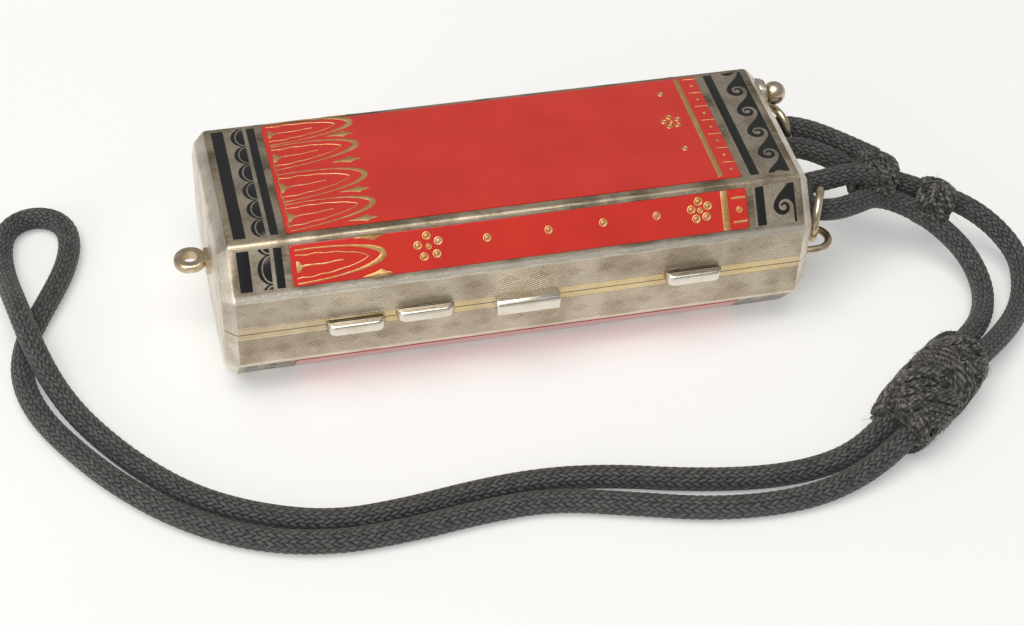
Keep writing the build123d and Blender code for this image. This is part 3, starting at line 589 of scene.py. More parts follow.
class Bench:
    """Hand operations on meshes. Each leaves its piece alone in the selection, in object mode."""

    doubles = 1e-7
    node_doubles = 2e-6
    flat_degrees = 0.6

    @staticmethod
    def clear() -> None:
        """Leave edit mode and deselect everything."""
        if bpy.context.mode != "OBJECT":
            bpy.ops.object.mode_set(mode="OBJECT")
        bpy.ops.object.select_all(action="DESELECT")

    @staticmethod
    def hold(*objects: Piece) -> None:
        """Select only these objects and make the first one active."""
        Bench.clear()
        for item in objects:
            item.select_set(True)
        bpy.context.view_layer.objects.active = objects[0]

    @staticmethod
    @contextmanager
    def editing(piece: Piece, mode: str = "FACE") -> Iterator[bmesh.types.BMesh]:
        """Edit mode with nothing selected.

        Args:
            piece: The mesh object to edit.
            mode: VERT, EDGE or FACE.

        Yields:
            The mesh in edit mode.
        """
        Bench.hold(piece)
        bpy.ops.object.mode_set(mode="EDIT")
        bpy.ops.mesh.select_mode(type=mode)
        bpy.ops.mesh.select_all(action="DESELECT")
        yield bmesh.from_edit_mesh(piece.data)
        bpy.ops.object.mode_set(mode="OBJECT")

    @staticmethod
    def mark(piece: Piece, items: Sequence, test: Callable) -> None:
        """Select the vertices, edges or faces that pass a test, in edit mode."""
        for item in items:
            item.select_set(bool(test(item)))
        bmesh.update_edit_mesh(piece.data)

    @staticmethod
    def upright(edge: Edge) -> bool:
        """True for an edge that rises."""
        return abs(edge.verts[0].co.z - edge.verts[1].co.z) > 0.1 * MM

    @staticmethod
    def settle() -> None:
        """Apply the active object's place, turn and scale to its mesh."""
        bpy.ops.object.transform_apply(location=True, rotation=True, scale=True)

    @staticmethod
    def block(name: str, low: Sequence[float], high: Sequence[float]) -> Piece:
        """A box between two corners, in millimetres, as a start for a piece."""
        Bench.clear()
        middle = [(a + b) / 2 * MM for a, b in zip(low, high)]
        bpy.ops.mesh.primitive_cube_add(size=1, location=middle)
        piece = bpy.context.active_object
        piece.name = name
        piece.scale = [(b - a) * MM for a, b in zip(low, high)]
        Bench.settle()
        return piece

    @staticmethod
    def modify(piece: Piece, kind: str, **settings: object) -> None:
        """Add a modifier with its settings and apply it."""
        Bench.hold(piece)
        modifier = piece.modifiers.new(kind.title(), kind)
        for name, value in settings.items():
            setattr(modifier, name, value)
        bpy.ops.object.modifier_apply(modifier=modifier.name)

    @staticmethod
    def smooth(piece: Piece, degrees: float = 30.0) -> None:
        """Shade smooth, keeping edges sharper than an angle."""
        Bench.hold(piece)
        bpy.ops.object.shade_smooth_by_angle(angle=math.radians(degrees))

    @staticmethod
    def outward(piece: Piece) -> None:
        """Merge doubles and turn the faces outwards."""
        with Bench.editing(piece):
            bpy.ops.mesh.select_all(action="SELECT")
            bpy.ops.mesh.remove_doubles(threshold=Bench.doubles)
            bpy.ops.mesh.normals_make_consistent(inside=False)

    @staticmethod
    def copy_node(node: str, name: str) -> Piece:
        """A separate copy of a CAD node with its loose triangles merged into whole faces.

        Args:
            node: The CAD node.
            name: Name of the new piece.

        Returns:
            The new piece, with no parent.
        """
        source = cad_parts[node]
        piece = bpy.data.objects.new(name, source.data.copy())
        bpy.context.scene.collection.objects.link(piece)
        piece.data.materials.clear()
        with Bench.editing(piece):
            bpy.ops.mesh.select_all(action="SELECT")
            bpy.ops.mesh.remove_doubles(threshold=Bench.node_doubles)
            bpy.ops.mesh.dissolve_limited(angle_limit=math.radians(Bench.flat_degrees))
        return piece

    @staticmethod
    def round_edges(piece: Piece, width: float, degrees: float = 35.0, segments: int = 3,
                    test: Callable | None = None) -> None:
        """Round the sharp edges that pass a test.

        Args:
            piece: The mesh object.
            width: Width of the rounding in millimetres.
            degrees: Least angle between the two faces.
            segments: Steps of the rounding.
            test: Says of an edge if it is rounded; all sharp ones without it.
        """
        with Bench.editing(piece, "EDGE") as mesh:
            def sharp(edge: Edge) -> bool:
                """True for an edge to round."""
                if len(edge.link_faces) != 2 or edge.calc_face_angle(0) < math.radians(degrees):
                    return False
                return test is None or test(edge)
            Bench.mark(piece, mesh.edges, sharp)
            bpy.ops.mesh.bevel(offset=width * MM, segments=segments, affect="EDGES",
                               clamp_overlap=test is None)

    @staticmethod
    def join(pieces: Sequence[Piece], name: str) -> Piece:
        """Join several meshes into one piece."""
        Bench.hold(*pieces)
        if len(pieces) > 1:
            bpy.ops.object.join()
        pieces[0].name = name
        return pieces[0]

    @staticmethod
    def to_mesh(piece: Piece) -> Piece:
        """Convert a curve to a mesh."""
        Bench.hold(piece)
        bpy.ops.object.convert(target="MESH")
        return piece

    @staticmethod
    def dress(piece: Piece, body: Body, slot: Slot, *materials: bpy.types.Material,
              replaces: Sequence[str] = ()) -> Piece:
        """Give a finished piece its materials and its body, and hide the CAD nodes that it stands for.

        Args:
            piece: The finished piece.
            body: The CAD body it rides on.
            slot: The record's slot; not used.
            materials: Its materials, none if they are assigned already.
            replaces: CAD nodes that it stands for.

        Returns:
            The piece.
        """
        for material in materials:
            piece.data.materials.append(material)
        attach(piece, body.value)
        if replaces:
            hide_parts(*replaces)
        LOG.info("piece %s on %s", piece.name, body.value)
        return piece

    @staticmethod
    def lathe(name: str, profile: Sequence[Point], axis_at: Vector, axis: Vector,
              steps: int) -> Piece:
        """Turn a profile about an axis with the spin operator.

        Args:
            name: Name of the piece.
            profile: (distance along the axis, radius) from end to end, in millimetres.
            axis_at: A point on the axis, in millimetres.
            axis: Direction of the axis.
            steps: Steps round the axis.

        Returns:
            The closed turned piece.
        """
        side = axis.orthogonal().normalized()
        points = [(axis_at + axis * along + side * radius) * MM for along, radius in profile]
        data = bpy.data.meshes.new(name)
        data.from_pydata(points, [(i, i + 1) for i in range(len(points) - 1)], [])
        piece = bpy.data.objects.new(name, data)
        bpy.context.scene.collection.objects.link(piece)
        with Bench.editing(piece, "VERT"):
            bpy.ops.mesh.select_all(action="SELECT")
            bpy.ops.mesh.spin(steps=steps, angle=math.tau, center=axis_at * MM, axis=axis)
        Bench.outward(piece)
        Bench.smooth(piece, 35)
        return piece


@dataclass(frozen=True)
class CaseFace:
    """An outer face of the case: u runs along X, v across the face and n out of it."""

    origin: Triple
    normal: Triple
    flip: int
    middle: float

    def matrix(self) -> Matrix:
        """Frame of the face in millimetres scaled to metres."""
        u = Vector((1, 0, 0))
        n = Vector(self.normal)
        v = n.cross(u)
        turned = Matrix((u, v, n)).transposed().to_4x4()
        return Matrix.Translation(Vector(self.origin) * MM) @ turned

    def place(self, piece: Piece) -> None:
        """Carry a piece from the drawing plane onto the face."""
        piece.matrix_world = self.matrix()
        Bench.hold(piece)
        Bench.settle()


@dataclass(frozen=True)
class CaseForm:
    """Outer form of the case, in millimetres."""

    half_length: float = 40.0
    end: float = 41.6
    depth: float = 34.8
    height: float = 23.6
    run: float = 4.8
    drop: float = 6.0
    seam: float = 11.8
    top_middle: float = 0.3
    slope_middle: float = 0.275

    def slope(self, side: int, level: int) -> CaseFace:
        """A sloping face: side -1 front or 1 back, level 1 upper or -1 lower."""
        width = math.hypot(self.run, self.drop)
        up = self.height / 2 + level * (self.height - self.drop) / 2
        origin = (0, side * (self.depth - self.run) / 2, up)
        normal = (0, side * self.drop / width, level * self.run / width)
        return CaseFace(origin, normal, -side * level, self.slope_middle)

    def top(self) -> CaseFace:
        """The top face."""
        return CaseFace((0, 0, self.height), (0, 0, 1), 1, self.top_middle)

    def bottom(self) -> CaseFace:
        """The resting face."""
        return CaseFace((0, 0, 0), (0, 0, -1), 1, 0.0)

    def inside(self, point: Vector) -> float:
        """How far a point lies inside the eight long faces."""
        width = math.hypot(self.run, self.drop)
        y, z = abs(point.y), abs(point.z - self.height / 2)
        flat = min(self.depth / 2 - y, self.height / 2 - z)
        reach = self.drop / width * self.depth / 2 + self.run / width * (self.height / 2 - self.drop)
        return min(flat, reach - (self.drop / width * y + self.run / width * z))


# ---------------------------------------------------------------- ornament


class Drawing:
    """Flat ornament drawn on a face's own plane in millimetres, then laid on the face as low relief."""

    smooth_degrees = 50

    def __init__(self, name: str, face: CaseFace, low: float, high: float) -> None:
        """Start a drawing.

        Args:
            name: Name for the pieces made from it.
            face: The face it lies on.
            low: Height of its underside out of the face, in millimetres.
            high: Height of its top.
        """
        self.name = name
        self.face = face
        self.low = low
        self.high = high
        self.parts: list[Piece] = []

    def curve(self, flat: bool) -> bpy.types.Curve:
        """A new curve object for one kind of stroke, kept among the parts."""
        data = bpy.data.curves.new(self.name, "CURVE")
        data.dimensions = "2D" if flat else "3D"
        piece = bpy.data.objects.new(self.name, data)
        bpy.context.scene.collection.objects.link(piece)
        self.parts.append(piece)
        return data

    def spline(self, data: bpy.types.Curve, line: Sequence[Point]) -> bpy.types.Spline:
        """A new spline of a curve through points (u, v)."""
        spline = data.splines.new("POLY")
        spline.points.add(len(line) - 1)
        for point, (u, v) in zip(spline.points, line):
            point.co = (u * MM, self.face.flip * v * MM, 0, 1)
        return spline

    def fill(self, outline: Sequence[Point], edge: float = 0.03) -> None:
        """A filled shape with softened edges.

        Args:
            outline: Its corner points (u, v), in order.
            edge: Width of the softened edge.
        """
        data = self.curve(True)
        data.fill_mode = "BOTH"
        data.extrude = max((self.high - self.low) / 2 - edge, 0.002) * MM
        if edge > 0:
            data.bevel_depth = edge * MM
            data.bevel_resolution = 1
            data.offset = -edge * MM
        self.spline(data, outline).use_cyclic_u = True

    def stroke(self, line: Sequence[Point], widths: Sequence[float]) -> None:
        """A raised line with round shoulders.

        Args:
            line: Points (u, v) along it.
            widths: Its width at each point.
        """
        data = self.curve(False)
        data.bevel_depth = 0.5 * MM
        data.bevel_resolution = 2
        data.use_fill_caps = True
        for point, width in zip(self.spline(data, line).points, widths):
            point.radius = width

    def bar(self, u0: float, u1: float, v0: float, v1: float, corner: float = 0.12) -> None:
        """A filled bar with small round corners."""
        corners = ((u1, v1, 0), (u0, v1, 90), (u0, v0, 180), (u1, v0, 270))
        outline = []
        for u, v, start in corners:
            cu = u - corner if u == u1 else u + corner
            cv = v - corner if v == v1 else v + corner
            for step in range(4):
                angle = math.radians(start + 30 * step)
                outline.append((cu + corner * math.cos(angle), cv + corner * math.sin(angle)))
        self.fill(outline)

    def dot(self, u: float, v: float, radius: float, squash: float = 1.0) -> None:
        """A raised dot with a dimpled middle, like a pressed foil disc."""
        steps = 20
        if radius > 0.3:
            rim = [(u + 0.80 * radius * math.cos(math.tau * i / steps) * squash,
                    v + 0.80 * radius * math.sin(math.tau * i / steps)) for i in range(steps + 1)]
            self.stroke(rim, [0.36 * radius] * len(rim))
            radius *= 0.50
        ring = [(u + radius * math.cos(math.tau * i / steps) * squash,
                 v + radius * math.sin(math.tau * i / steps)) for i in range(steps)]
        self.fill(ring, 0.05)

    def lay(self, limits: tuple[float, float] | None = None) -> Piece:
        """Turn the drawing into one mesh on its face, its raised lines pressed to the drawing's height.

        Args:
            limits: Lowest and highest place across the face, beyond which the piece is cut off.

        Returns:
            The piece.
        """
        meshes = []
        height = self.high - self.low
        for part in self.parts:
            round_line = part.data.dimensions == "3D"
            Bench.to_mesh(part)
            if round_line:
                with Bench.editing(part, "VERT"):
                    bpy.ops.mesh.select_all(action="SELECT")
                    widest = max(vertex.co.z for vertex in part.data.vertices) * 2 / MM
                    bpy.ops.transform.resize(value=(1, 1, height / max(widest, 0.1)),
                                             center_override=(0, 0, 0))
            meshes.append(part)
        piece = Bench.join(meshes, self.name)
        with Bench.editing(piece, "VERT"):
            bpy.ops.mesh.select_all(action="SELECT")
            bpy.ops.transform.translate(value=(0, 0, (self.low + self.high) / 2 * MM))
        self.face.place(piece)
        self.close(piece)
        if limits:
            self.trim(piece, limits)
        return piece

    def close(self, piece: Piece) -> None:
        """Turn a piece's faces outward and smooth it."""
        Bench.outward(piece)
        Bench.smooth(piece, self.smooth_degrees)

    def trim(self, piece: Piece, limits: tuple[float, float]) -> None:
        """Cut a laid piece off beyond two limits across its face, and close the cuts."""
        face = self.face
        across = face.matrix().to_3x3() @ Vector((0, face.flip, 0))
        for limit, outer in zip(limits, (False, True)):
            point = face.matrix() @ Vector((0, face.flip * limit * MM, 0))
            with Bench.editing(piece, "VERT"):
                bpy.ops.mesh.select_all(action="SELECT")
                bpy.ops.mesh.bisect(plane_co=point, plane_no=across, use_fill=True,
                                    clear_outer=outer, clear_inner=not outer)
        self.close(piece)


@dataclass(frozen=True)
class GoldWork:
    """Gold ornament of one red field: long tongues at the left, blossoms, dots and a ladder at the right."""

    left: float = -31.3
    reach: float = 11.85
    rows: tuple[Triple, ...] = ((9.8, 2.35, 0.9), (4.5, 2.55, 1.25), (-2.05, 2.9, 1.05),
                                                    (-8.3, 2.7, 1.3))
    leaves: tuple[float, ...] = (8.1, 2.3, -4.2, -10.35)
    low: float = 0.06
    high: float = 0.17
    slope_half: float = 2.84

    def tongue(self, work: Drawing, base: float, half: float, skew: float) -> None:
        """One tongue: a swelling outer loop, a wavering inner loop, a stem and its foot.

        Args:
            work: The drawing.
            base: Where across the face its foot is centred.
            half: Half of the loop's width.
            skew: How far its tip leans across the face.
        """
        count = 44
        outer, outer_widths, inner, inner_widths = [], [], [], []
        for step in range(count + 1):
            angle = math.radians(-90 + 180 * step / count)
            along, across = math.cos(angle), math.sin(angle)
            outer.append((self.left + self.reach * along, base + skew * along + half * across))
            outer_widths.append(0.20 + 0.66 * along ** 5)
            reach = self.reach * 0.825
            shape = math.copysign(max(0.0, 1 - along ** 2.2) ** 0.66, across)
            waver = 0.11 * math.sin(along * reach * 2.3 + (1.3 if across > 0 else 0.2)) * (1 - along)
            inner.append((self.left + reach * along,
                          base + skew * 0.85 * along + half * 0.68 * shape + waver))
            inner_widths.append(0.14)
        work.stroke(outer, outer_widths)
        work.stroke(inner, inner_widths)
        stem = [(self.left + 1.0 + step * 0.6, base + skew * (1.0 + step * 0.6) / self.reach
                 + 0.06 * math.sin(step)) for step in range(10)]
        work.stroke(stem, [0.34, 0.24] + [0.15] * 8)
        share = half / 2.9
        foot = [(0.0, 0.95), (0.28, 1.0), (0.5, 0.8), (0.62, 0.42), (0.85, 0.24), (1.5, 0.14), (1.5, -0.02),
                (0.88, -0.16), (0.62, -0.45), (0.45, -0.85), (0.25, -1.0), (0.0, -0.95)]
        work.fill([(self.left + 0.05 + u, base + v * share) for u, v in foot], 0.02)

    def leaf(self, work: Drawing, u: float, v: float) -> None:
        """A leaf tip with a long tail to the left."""
        corners = ((-2.9, -0.12), (-0.25, 0.72), (1.35, 0.05), (-0.2, -0.62))
        outline = []
        for (u0, v0), (u1, v1) in zip(corners, corners[1:] + corners[:1]):
            pull = 0.30
            for step in range(6):
                share = step / 6
                bow = pull * math.sin(math.pi * share)
                outline.append((u + u0 + (u1 - u0) * share, v + (v0 + (v1 - v0) * share) * (1 - bow)))
        work.fill(outline, 0.02)

    def blossom(self, work: Drawing, u: float, v: float, spread: float, petal: float) -> None:
        """Five dots round a middle one."""
        work.dot(u, v, petal * 0.72)
        for step in range(5):
            angle = math.radians(24 + 72 * step)
            work.dot(u + spread * math.cos(angle), v + spread * math.sin(angle), petal, 1.06)

    def on_top(self, face: CaseFace, name: str) -> Piece:
        """The ornament of the top face."""
        work = Drawing(name, face, self.low, self.high)
        for base, half, skew in self.rows:
            self.tongue(work, base, half, skew)
        for v in self.leaves:
            self.leaf(work, -20.6, v)
        edge = [(self.left + 0.09 * math.sin(v * 2.1) + 0.06 * math.sin(v * 5.3), 4.5 - v) for v in range(16)]
        work.stroke(edge, [0.10 + 0.08 * abs(math.sin(1.7 * v)) for v in range(16)])
        self.blossom(work, 25.65, 2.15, 1.10, 0.50)
        for v in (8.65, -4.0):
            work.dot(25.85, v, 0.48)
        work.bar(28.6, 29.4, -10.9, 11.6)
        for step in range(7):
            v = 11.4 - 3.22 * step
            work.stroke([(30.05, v), (31.0, v - 0.05), (31.95, v - 0.1)], [0.14, 0.18, 0.14])
            work.dot(30.95, v - 1.6, 0.24)
        return work.lay()

    def on_slope(self, face: CaseFace, name: str) -> Piece:
        """The ornament of a sloping face."""
        work = Drawing(name, face, self.low, self.high)
        self.tongue(work, 0.05, 2.25, 0.42)
        self.leaf(work, -20.3, 3.0)
        self.leaf(work, -19.7, -2.25)
        self.blossom(work, -13.2, 0.6, 1.50, 0.60)
        for u in (-5.1, 3.5, 11.2, 18.85):
            work.dot(u, 0.78, 0.60)
        self.blossom(work, 25.1, 0.75, 1.27, 0.62)
        work.bar(28.2, 29.15, -2.5, 3.05)
        for v in (1.85, -1.5):
            work.stroke([(29.7, v), (30.7, v), (31.75, v)], [0.22, 0.34, 0.26])
        work.dot(30.75, 0.2, 0.46)
        return work.lay((face.middle - self.slope_half, face.middle + self.slope_half))


@dataclass(frozen=True)
class BandWork:
    """Black enamel of the end bands: bars and scallops at the left, a bar and a running wave at the right."""

    low: float = -0.12
    high: float = 0.012
    wave_centre: float = 37.25
    wave_pitch: float = 4.88
    wave_edge: float = 39.0
    curl: float = 1.52
    curl_rate: float = -0.00335
    hook: float = 1.4
    hook_rate: float = -0.0037
    scallop_flat: float = -34.62

    def scallops(self, work: Drawing, centres: Sequence[float]) -> None:
        """Half discs inside swelling arcs, in a row."""
        flat = self.scallop_flat
        for v in centres:
            steps = 22
            turn = [math.radians(90 + 180 * i / steps) for i in range(steps + 1)]
            outer = [(flat + 1.84 * math.cos(t), v + 2.05 * math.sin(t)) for t in turn]
            inner = [(flat + 1.30 * math.cos(t), v + 1.86 * math.sin(t)) for t in reversed(turn)]
            work.fill(outer + inner, 0.02)
            disc = [(flat + 1.12 * math.cos(t), v + 1.68 * math.sin(t)) for t in turn]
            work.fill(disc, 0.02)

    def wave(self, centres: Sequence[float]) -> list[Point]:
        """Outline of the running wave: each hook curls in round its centre and out again.

        Args:
            centres: Where across the face each curl is centred, from the highest down.

        Returns:
            The outline's points.
        """
        outline: list[Point] = []
        steps = 26
        for v in centres:
            start, end = (self.hook, self.wave_pitch), (-self.curl, 0.0)
            for step in range(10):
                s = step / 10
                pull_u = (start[0] * (1 - s) ** 3 + 3 * start[0] * (1 - s) ** 2 * s
                          + 3 * end[0] * (1 - s) * s * s + end[0] * s ** 3)
                pull_v = start[1] * (1 - s) ** 3 + 3 * 2.6 * (1 - s) ** 2 * s + 3 * 1.9 * (1 - s) * s * s
                outline.append((self.wave_centre + pull_u, v + pull_v))
            for step in range(steps + 1):
                turn = math.radians(180 + 350 * step / steps)
                radius = self.curl * math.exp(self.curl_rate * (math.degrees(turn) - 180))
                outline.append((self.wave_centre + radius * math.cos(turn), v + radius * math.sin(turn)))
            for step in range(steps + 1):
                turn = math.radians(500 - 500 * step / steps)
                radius = self.hook * math.exp(self.hook_rate * math.degrees(turn))
                outline.append((self.wave_centre + radius * math.cos(turn), v + radius * math.sin(turn)))
        outline.append((self.wave_centre + self.hook, centres[-1] - 6))
        outline.append((self.wave_edge, centres[-1] - 6))
        outline.append((self.wave_edge, centres[0] + self.wave_pitch))
        return outline

    def left(self, face: CaseFace, name: str, v_low: float, v_high: float,
             centres: Sequence[float]) -> Piece:
        """Black work of a left band on one face."""
        work = Drawing(name, face, self.low, self.high)
        work.bar(-39.05, -37.35, v_low, v_high)
        work.bar(-34.1, -32.95, v_low, v_high)
        self.scallops(work, centres)
        return work.lay((v_low, v_high))

    def right(self, face: CaseFace, name: str, v_low: float, v_high: float,
              centres: Sequence[float]) -> Piece:
        """Black work of a right band on one face."""
        work = Drawing(name, face, self.low, self.high)
        work.bar(33.25, 34.55, v_low, v_high)
        work.fill(self.wave(centres), 0.0)
        return work.lay((v_low, v_high))


# ---------------------------------------------------------------- the case


@dataclass(frozen=True)
class Case:
    """Shells, enamel fields and end bands."""

    finishes: Finishes
    form: CaseForm = CaseForm()
    edge_rounding: float = 0.28
    top_width: float = 23.4
    slope_margin: float = 1.95
    field_length: float = 63.9
    field_play: float = 0.1
    field_rise: float = 0.07
    field_corner: float = 0.45
    field_crown: float = 0.05
    pad_sink: float = -0.25
    plate_length: float = 6.18
    plate_centre: float = 36.0
    plate_play: float = 0.02
    plate_level: float = -0.006
    plate_corner: float = 0.05
    black_margin: float = 0.12

    def pad(self, name: str, face: CaseFace, length: float, width: float, low: float, high: float,
            corner: float, crown: float, middle: float = 0.0) -> Piece:
        """A flat pad on a face with round corners, rolled edges and a slight crown.

        Args:
            name: Name of the pad.
            face: The face it lies on.
            length: Length along the case.
            width: Width across the face.
            low: Underside out of the face.
            high: Edge of its top out of the face.
            corner: Radius of its corners.
            crown: Height of the middle above the edge.
            middle: Where along the case it is centred.

        Returns:
            The pad.
        """
        shift = face.flip * face.middle
        piece = Bench.block(name, (middle - length / 2, shift - width / 2, low),
                            (middle + length / 2, shift + width / 2, high))
        with Bench.editing(piece, "EDGE") as mesh:
            Bench.mark(piece, mesh.edges, Bench.upright)
            bpy.ops.mesh.bevel(offset=corner * MM, segments=4, affect="EDGES")
        with Bench.editing(piece) as mesh:
            top = (high - 0.005) * MM
            Bench.mark(piece, mesh.faces, lambda f: f.normal.z > 0.9 and f.calc_center_median().z > top)
            if crown > 0:
                for inset, rise in ((0.06, 0.4), (0.10, 0.3)):
                    bpy.ops.mesh.inset(thickness=inset * MM)
                    bpy.ops.transform.translate(value=(0, 0, crown * rise * MM))
                for share, rise in ((0.93, 0.2), (0.80, 0.1)):
                    lift = {"value": (0, 0, crown * rise * MM)}
                    bpy.ops.mesh.extrude_region_move(TRANSFORM_OT_translate=lift)
                    bpy.ops.transform.resize(value=(1 - (1 - share) * width / length, share, 1),
                                             center_override=(middle * MM, shift * MM, 0))
        face.place(piece)
        Bench.smooth(piece, 40)
        return piece

    def shell(self, node: str, body: Body) -> None:
        """One shell: rounded outer edges, engraved long walls, plain borders and a gilt inside."""
        form = self.form
        piece = Bench.copy_node(node, node.replace("_shell", "_case_shell"))

        def outer(edge: Edge) -> bool:
            """True for an edge between two outer faces."""
            for face in edge.link_faces:
                middle = face.calc_center_bounds() / MM
                on_end = abs(middle.x) > form.half_length + 0.05
                if not on_end and abs(form.inside(middle)) > 0.02:
                    return False
                if abs(face.normal.z) > 0.99 and abs(middle.z - form.seam) < 0.2:
                    return False
            return edge.calc_length() > 1.0 * MM
        Bench.round_edges(piece, self.edge_rounding, 20, 3, outer)
        for material in (self.finishes.silver, self.finishes.walls, self.finishes.ridge, self.finishes.gilt):
            piece.data.materials.append(material)
        for polygon in piece.data.polygons:
            middle = polygon.center / MM
            normal = polygon.normal
            depth = form.inside(middle)
            if depth > 0.5 and abs(middle.x) < form.half_length + 0.05:
                polygon.material_index = 3
            elif abs(normal.y) > 0.97 and depth < 0.05:
                polygon.material_index = 1
            elif abs(normal.z) > 0.4 and abs(middle.x) < form.half_length and polygon.area > 1e-6:
                polygon.material_index = 2
        Bench.smooth(piece, 25)
        Bench.dress(piece, body, Slot.SILVER, replaces=[node])

    def enamel(self, shell: str, side: str, body: Body, face: CaseFace, width: float) -> None:
        """One red field, with its gold ornament on the lid."""
        node = f"{shell}_{side}_enamel"
        bottom = side == "bottom"
        crown = 0.0 if bottom else self.field_crown
        high = 0.0 if bottom else self.field_rise
        pad = self.pad(f"{node}_field", face, self.field_length, width - self.field_play, self.pad_sink, high,
                       self.field_corner, crown)
        Bench.dress(pad, body, Slot.RED, self.finishes.red, replaces=[node])
        if shell == "base":
            return
        gold = GoldWork()
        made = gold.on_top(face, f"{node}_gold") if side == "top" else gold.on_slope(face, f"{node}_gold")
        Bench.dress(made, body, Slot.GILT, self.finishes.gold)

    def bands(self, shell: str, body: Body, faces: Sequence[tuple[str, CaseFace, float]]) -> None:
        """The silver plates and black enamel at both ends of one shell."""
        work = BandWork()
        for end_name, end in (("left", -1), ("right", 1)):
            plates, blacks = [], []
            for side, face, width in faces:
                name = f"{shell}_{end_name}_{side}"
                plates.append(self.pad(name, face, self.plate_length, width - self.plate_play, self.pad_sink,
                                       self.plate_level, self.plate_corner, 0.0, end * self.plate_centre))
                flat = side in ("top", "bottom")
                low = face.middle - width / 2 + self.black_margin
                high = face.middle + width / 2 - self.black_margin
                if end < 0:
                    centres = [10.0 - 3.92 * i for i in range(6)] if flat else [4.1, 0.18, -3.74]
                    blacks.append(work.left(face, name + "_black", low, high, centres))
                else:
                    centres = [12.45 - work.wave_pitch * i for i in range(6)] if flat else [4.7, -0.18]
                    blacks.append(work.right(face, name + "_black", low, high, centres))
            plate = Bench.join(plates, f"{shell}_{end_name}_band_plate")
            Bench.dress(plate, body, Slot.SILVER, self.finishes.plate, replaces=[f"{shell}_{end_name}_band"])
            black = Bench.join(blacks, f"{shell}_{end_name}_band_enamel")
            Bench.dress(black, body, Slot.BLACK, self.finishes.black)

    def build(self) -> None:
        """Build both halves of the case."""
        form = self.form
        top_width, slope_width = self.top_width, math.hypot(form.run, form.drop) - self.slope_margin
        lid_faces = [("top", form.top(), top_width), ("front", form.slope(-1, 1), slope_width),
                     ("back", form.slope(1, 1), slope_width)]
        base_faces = [("bottom", form.bottom(), top_width), ("front", form.slope(-1, -1), slope_width),
                      ("back", form.slope(1, -1), slope_width)]
        for shell, body, faces in (("lid", Body.LID, lid_faces), ("base", Body.BASE, base_faces)):
            self.shell(f"{shell}_shell", body)
            for side, face, width in faces:
                self.enamel(shell, side, body, face, width)
            self.bands(shell, body, faces)


# ---------------------------------------------------------------- the cord


def carry_frames(points: np.ndarray) -> tuple[np.ndarray, np.ndarray, np.ndarray]:
    """Untwisted frames along a line.

    Args:
        points: Points along the line, one row each.

    Returns:
        Unit tangents, sides and ups, one row for each point.
    """
    tangents = np.gradient(points, axis=0)
    tangents /= np.linalg.norm(tangents, axis=1)[:, None]
    sides = np.zeros_like(points)
    side = np.cross(tangents[0], (0, 0, 1))
    for index, tangent in enumerate(tangents):
        side = side - tangent * (side @ tangent)
        side /= np.linalg.norm(side)
        sides[index] = side
    return tangents, sides, np.cross(tangents, sides)


def even_points(points: np.ndarray, step: float) -> np.ndarray:
    """The same line with evenly spaced points about one step apart."""
    runs = np.linalg.norm(np.diff(points, axis=0), axis=1)
    along = np.concatenate(([0], np.cumsum(runs)))
    marks = np.linspace(0, along[-1], max(2, round(along[-1] / step)) + 1)
    return np.column_stack([np.interp(marks, along, points[:, axis]) for axis in range(3)])


def grid_mesh(name: str, rings: np.ndarray, uv: np.ndarray, uv_name: str) -> Piece:
    """A closed tube from rings of points, with round caps at its ends.

    Args:
        name: Name of the object.
        rings: Array of rings, points in a ring, 3.
        uv: Array of rings, points in a ring plus one, 2.
        uv_name: Name of the UV map.

    Returns:
        The mesh object.
    """
    count, around = rings.shape[:2]
    vertices = rings.reshape(-1, 3)
    index = np.arange(count * around).reshape(count, around)
    turned = np.roll(index, -1, axis=1)
    quads = np.stack((index[:-1], turned[:-1], turned[1:], index[1:]), axis=-1).reshape(-1, 4)
    ends = np.vstack((rings[0].mean(0), rings[-1].mean(0)))
    first, last = count * around, count * around + 1
    caps = [(first, int(b), int(a)) for a, b in zip(index[0], turned[0])]
    caps += [(last, int(a), int(b)) for a, b in zip(index[-1], turned[-1])]
    data = bpy.data.meshes.new(name)
    data.from_pydata(np.vstack((vertices, ends)).tolist(), [], quads.tolist() + caps)
    layer = data.uv_layers.new(name=uv_name)
    left, right = uv[:, :-1], uv[:, 1:]
    corners = np.stack((left[:-1], right[:-1], right[1:], left[1:]), axis=2).reshape(-1, 2)
    filled = np.zeros((len(data.loops), 2))
    filled[:len(corners)] = corners
    layer.data.foreach_set("uv", filled.ravel())
    data.polygons.foreach_set("use_smooth", [True] * len(data.polygons))
    piece = bpy.data.objects.new(name, data)
    bpy.context.scene.collection.objects.link(piece)
    return piece


def thin_tube(name: str, line: np.ndarray, radius: float, uv: np.ndarray) -> Piece:
    """A thread as a tube with a few flat sides, one fewer than the UV map has columns.

    Args:
        name: Name of the tube.
        line: Points along it in millimetres.
        radius: Its radius in millimetres.
        uv: UV of each point, with the seam's column twice.

    Returns:
        The tube.
    """
    _, sides, ups = carry_frames(line)
    turn = np.linspace(0, math.tau, uv.shape[1] - 1, endpoint=False)
    rings = line[:, None] + radius * (np.cos(turn)[None, :, None] * sides[:, None]
                                      + np.sin(turn)[None, :, None] * ups[:, None])
    return grid_mesh(name, rings * MM, uv, "thread")


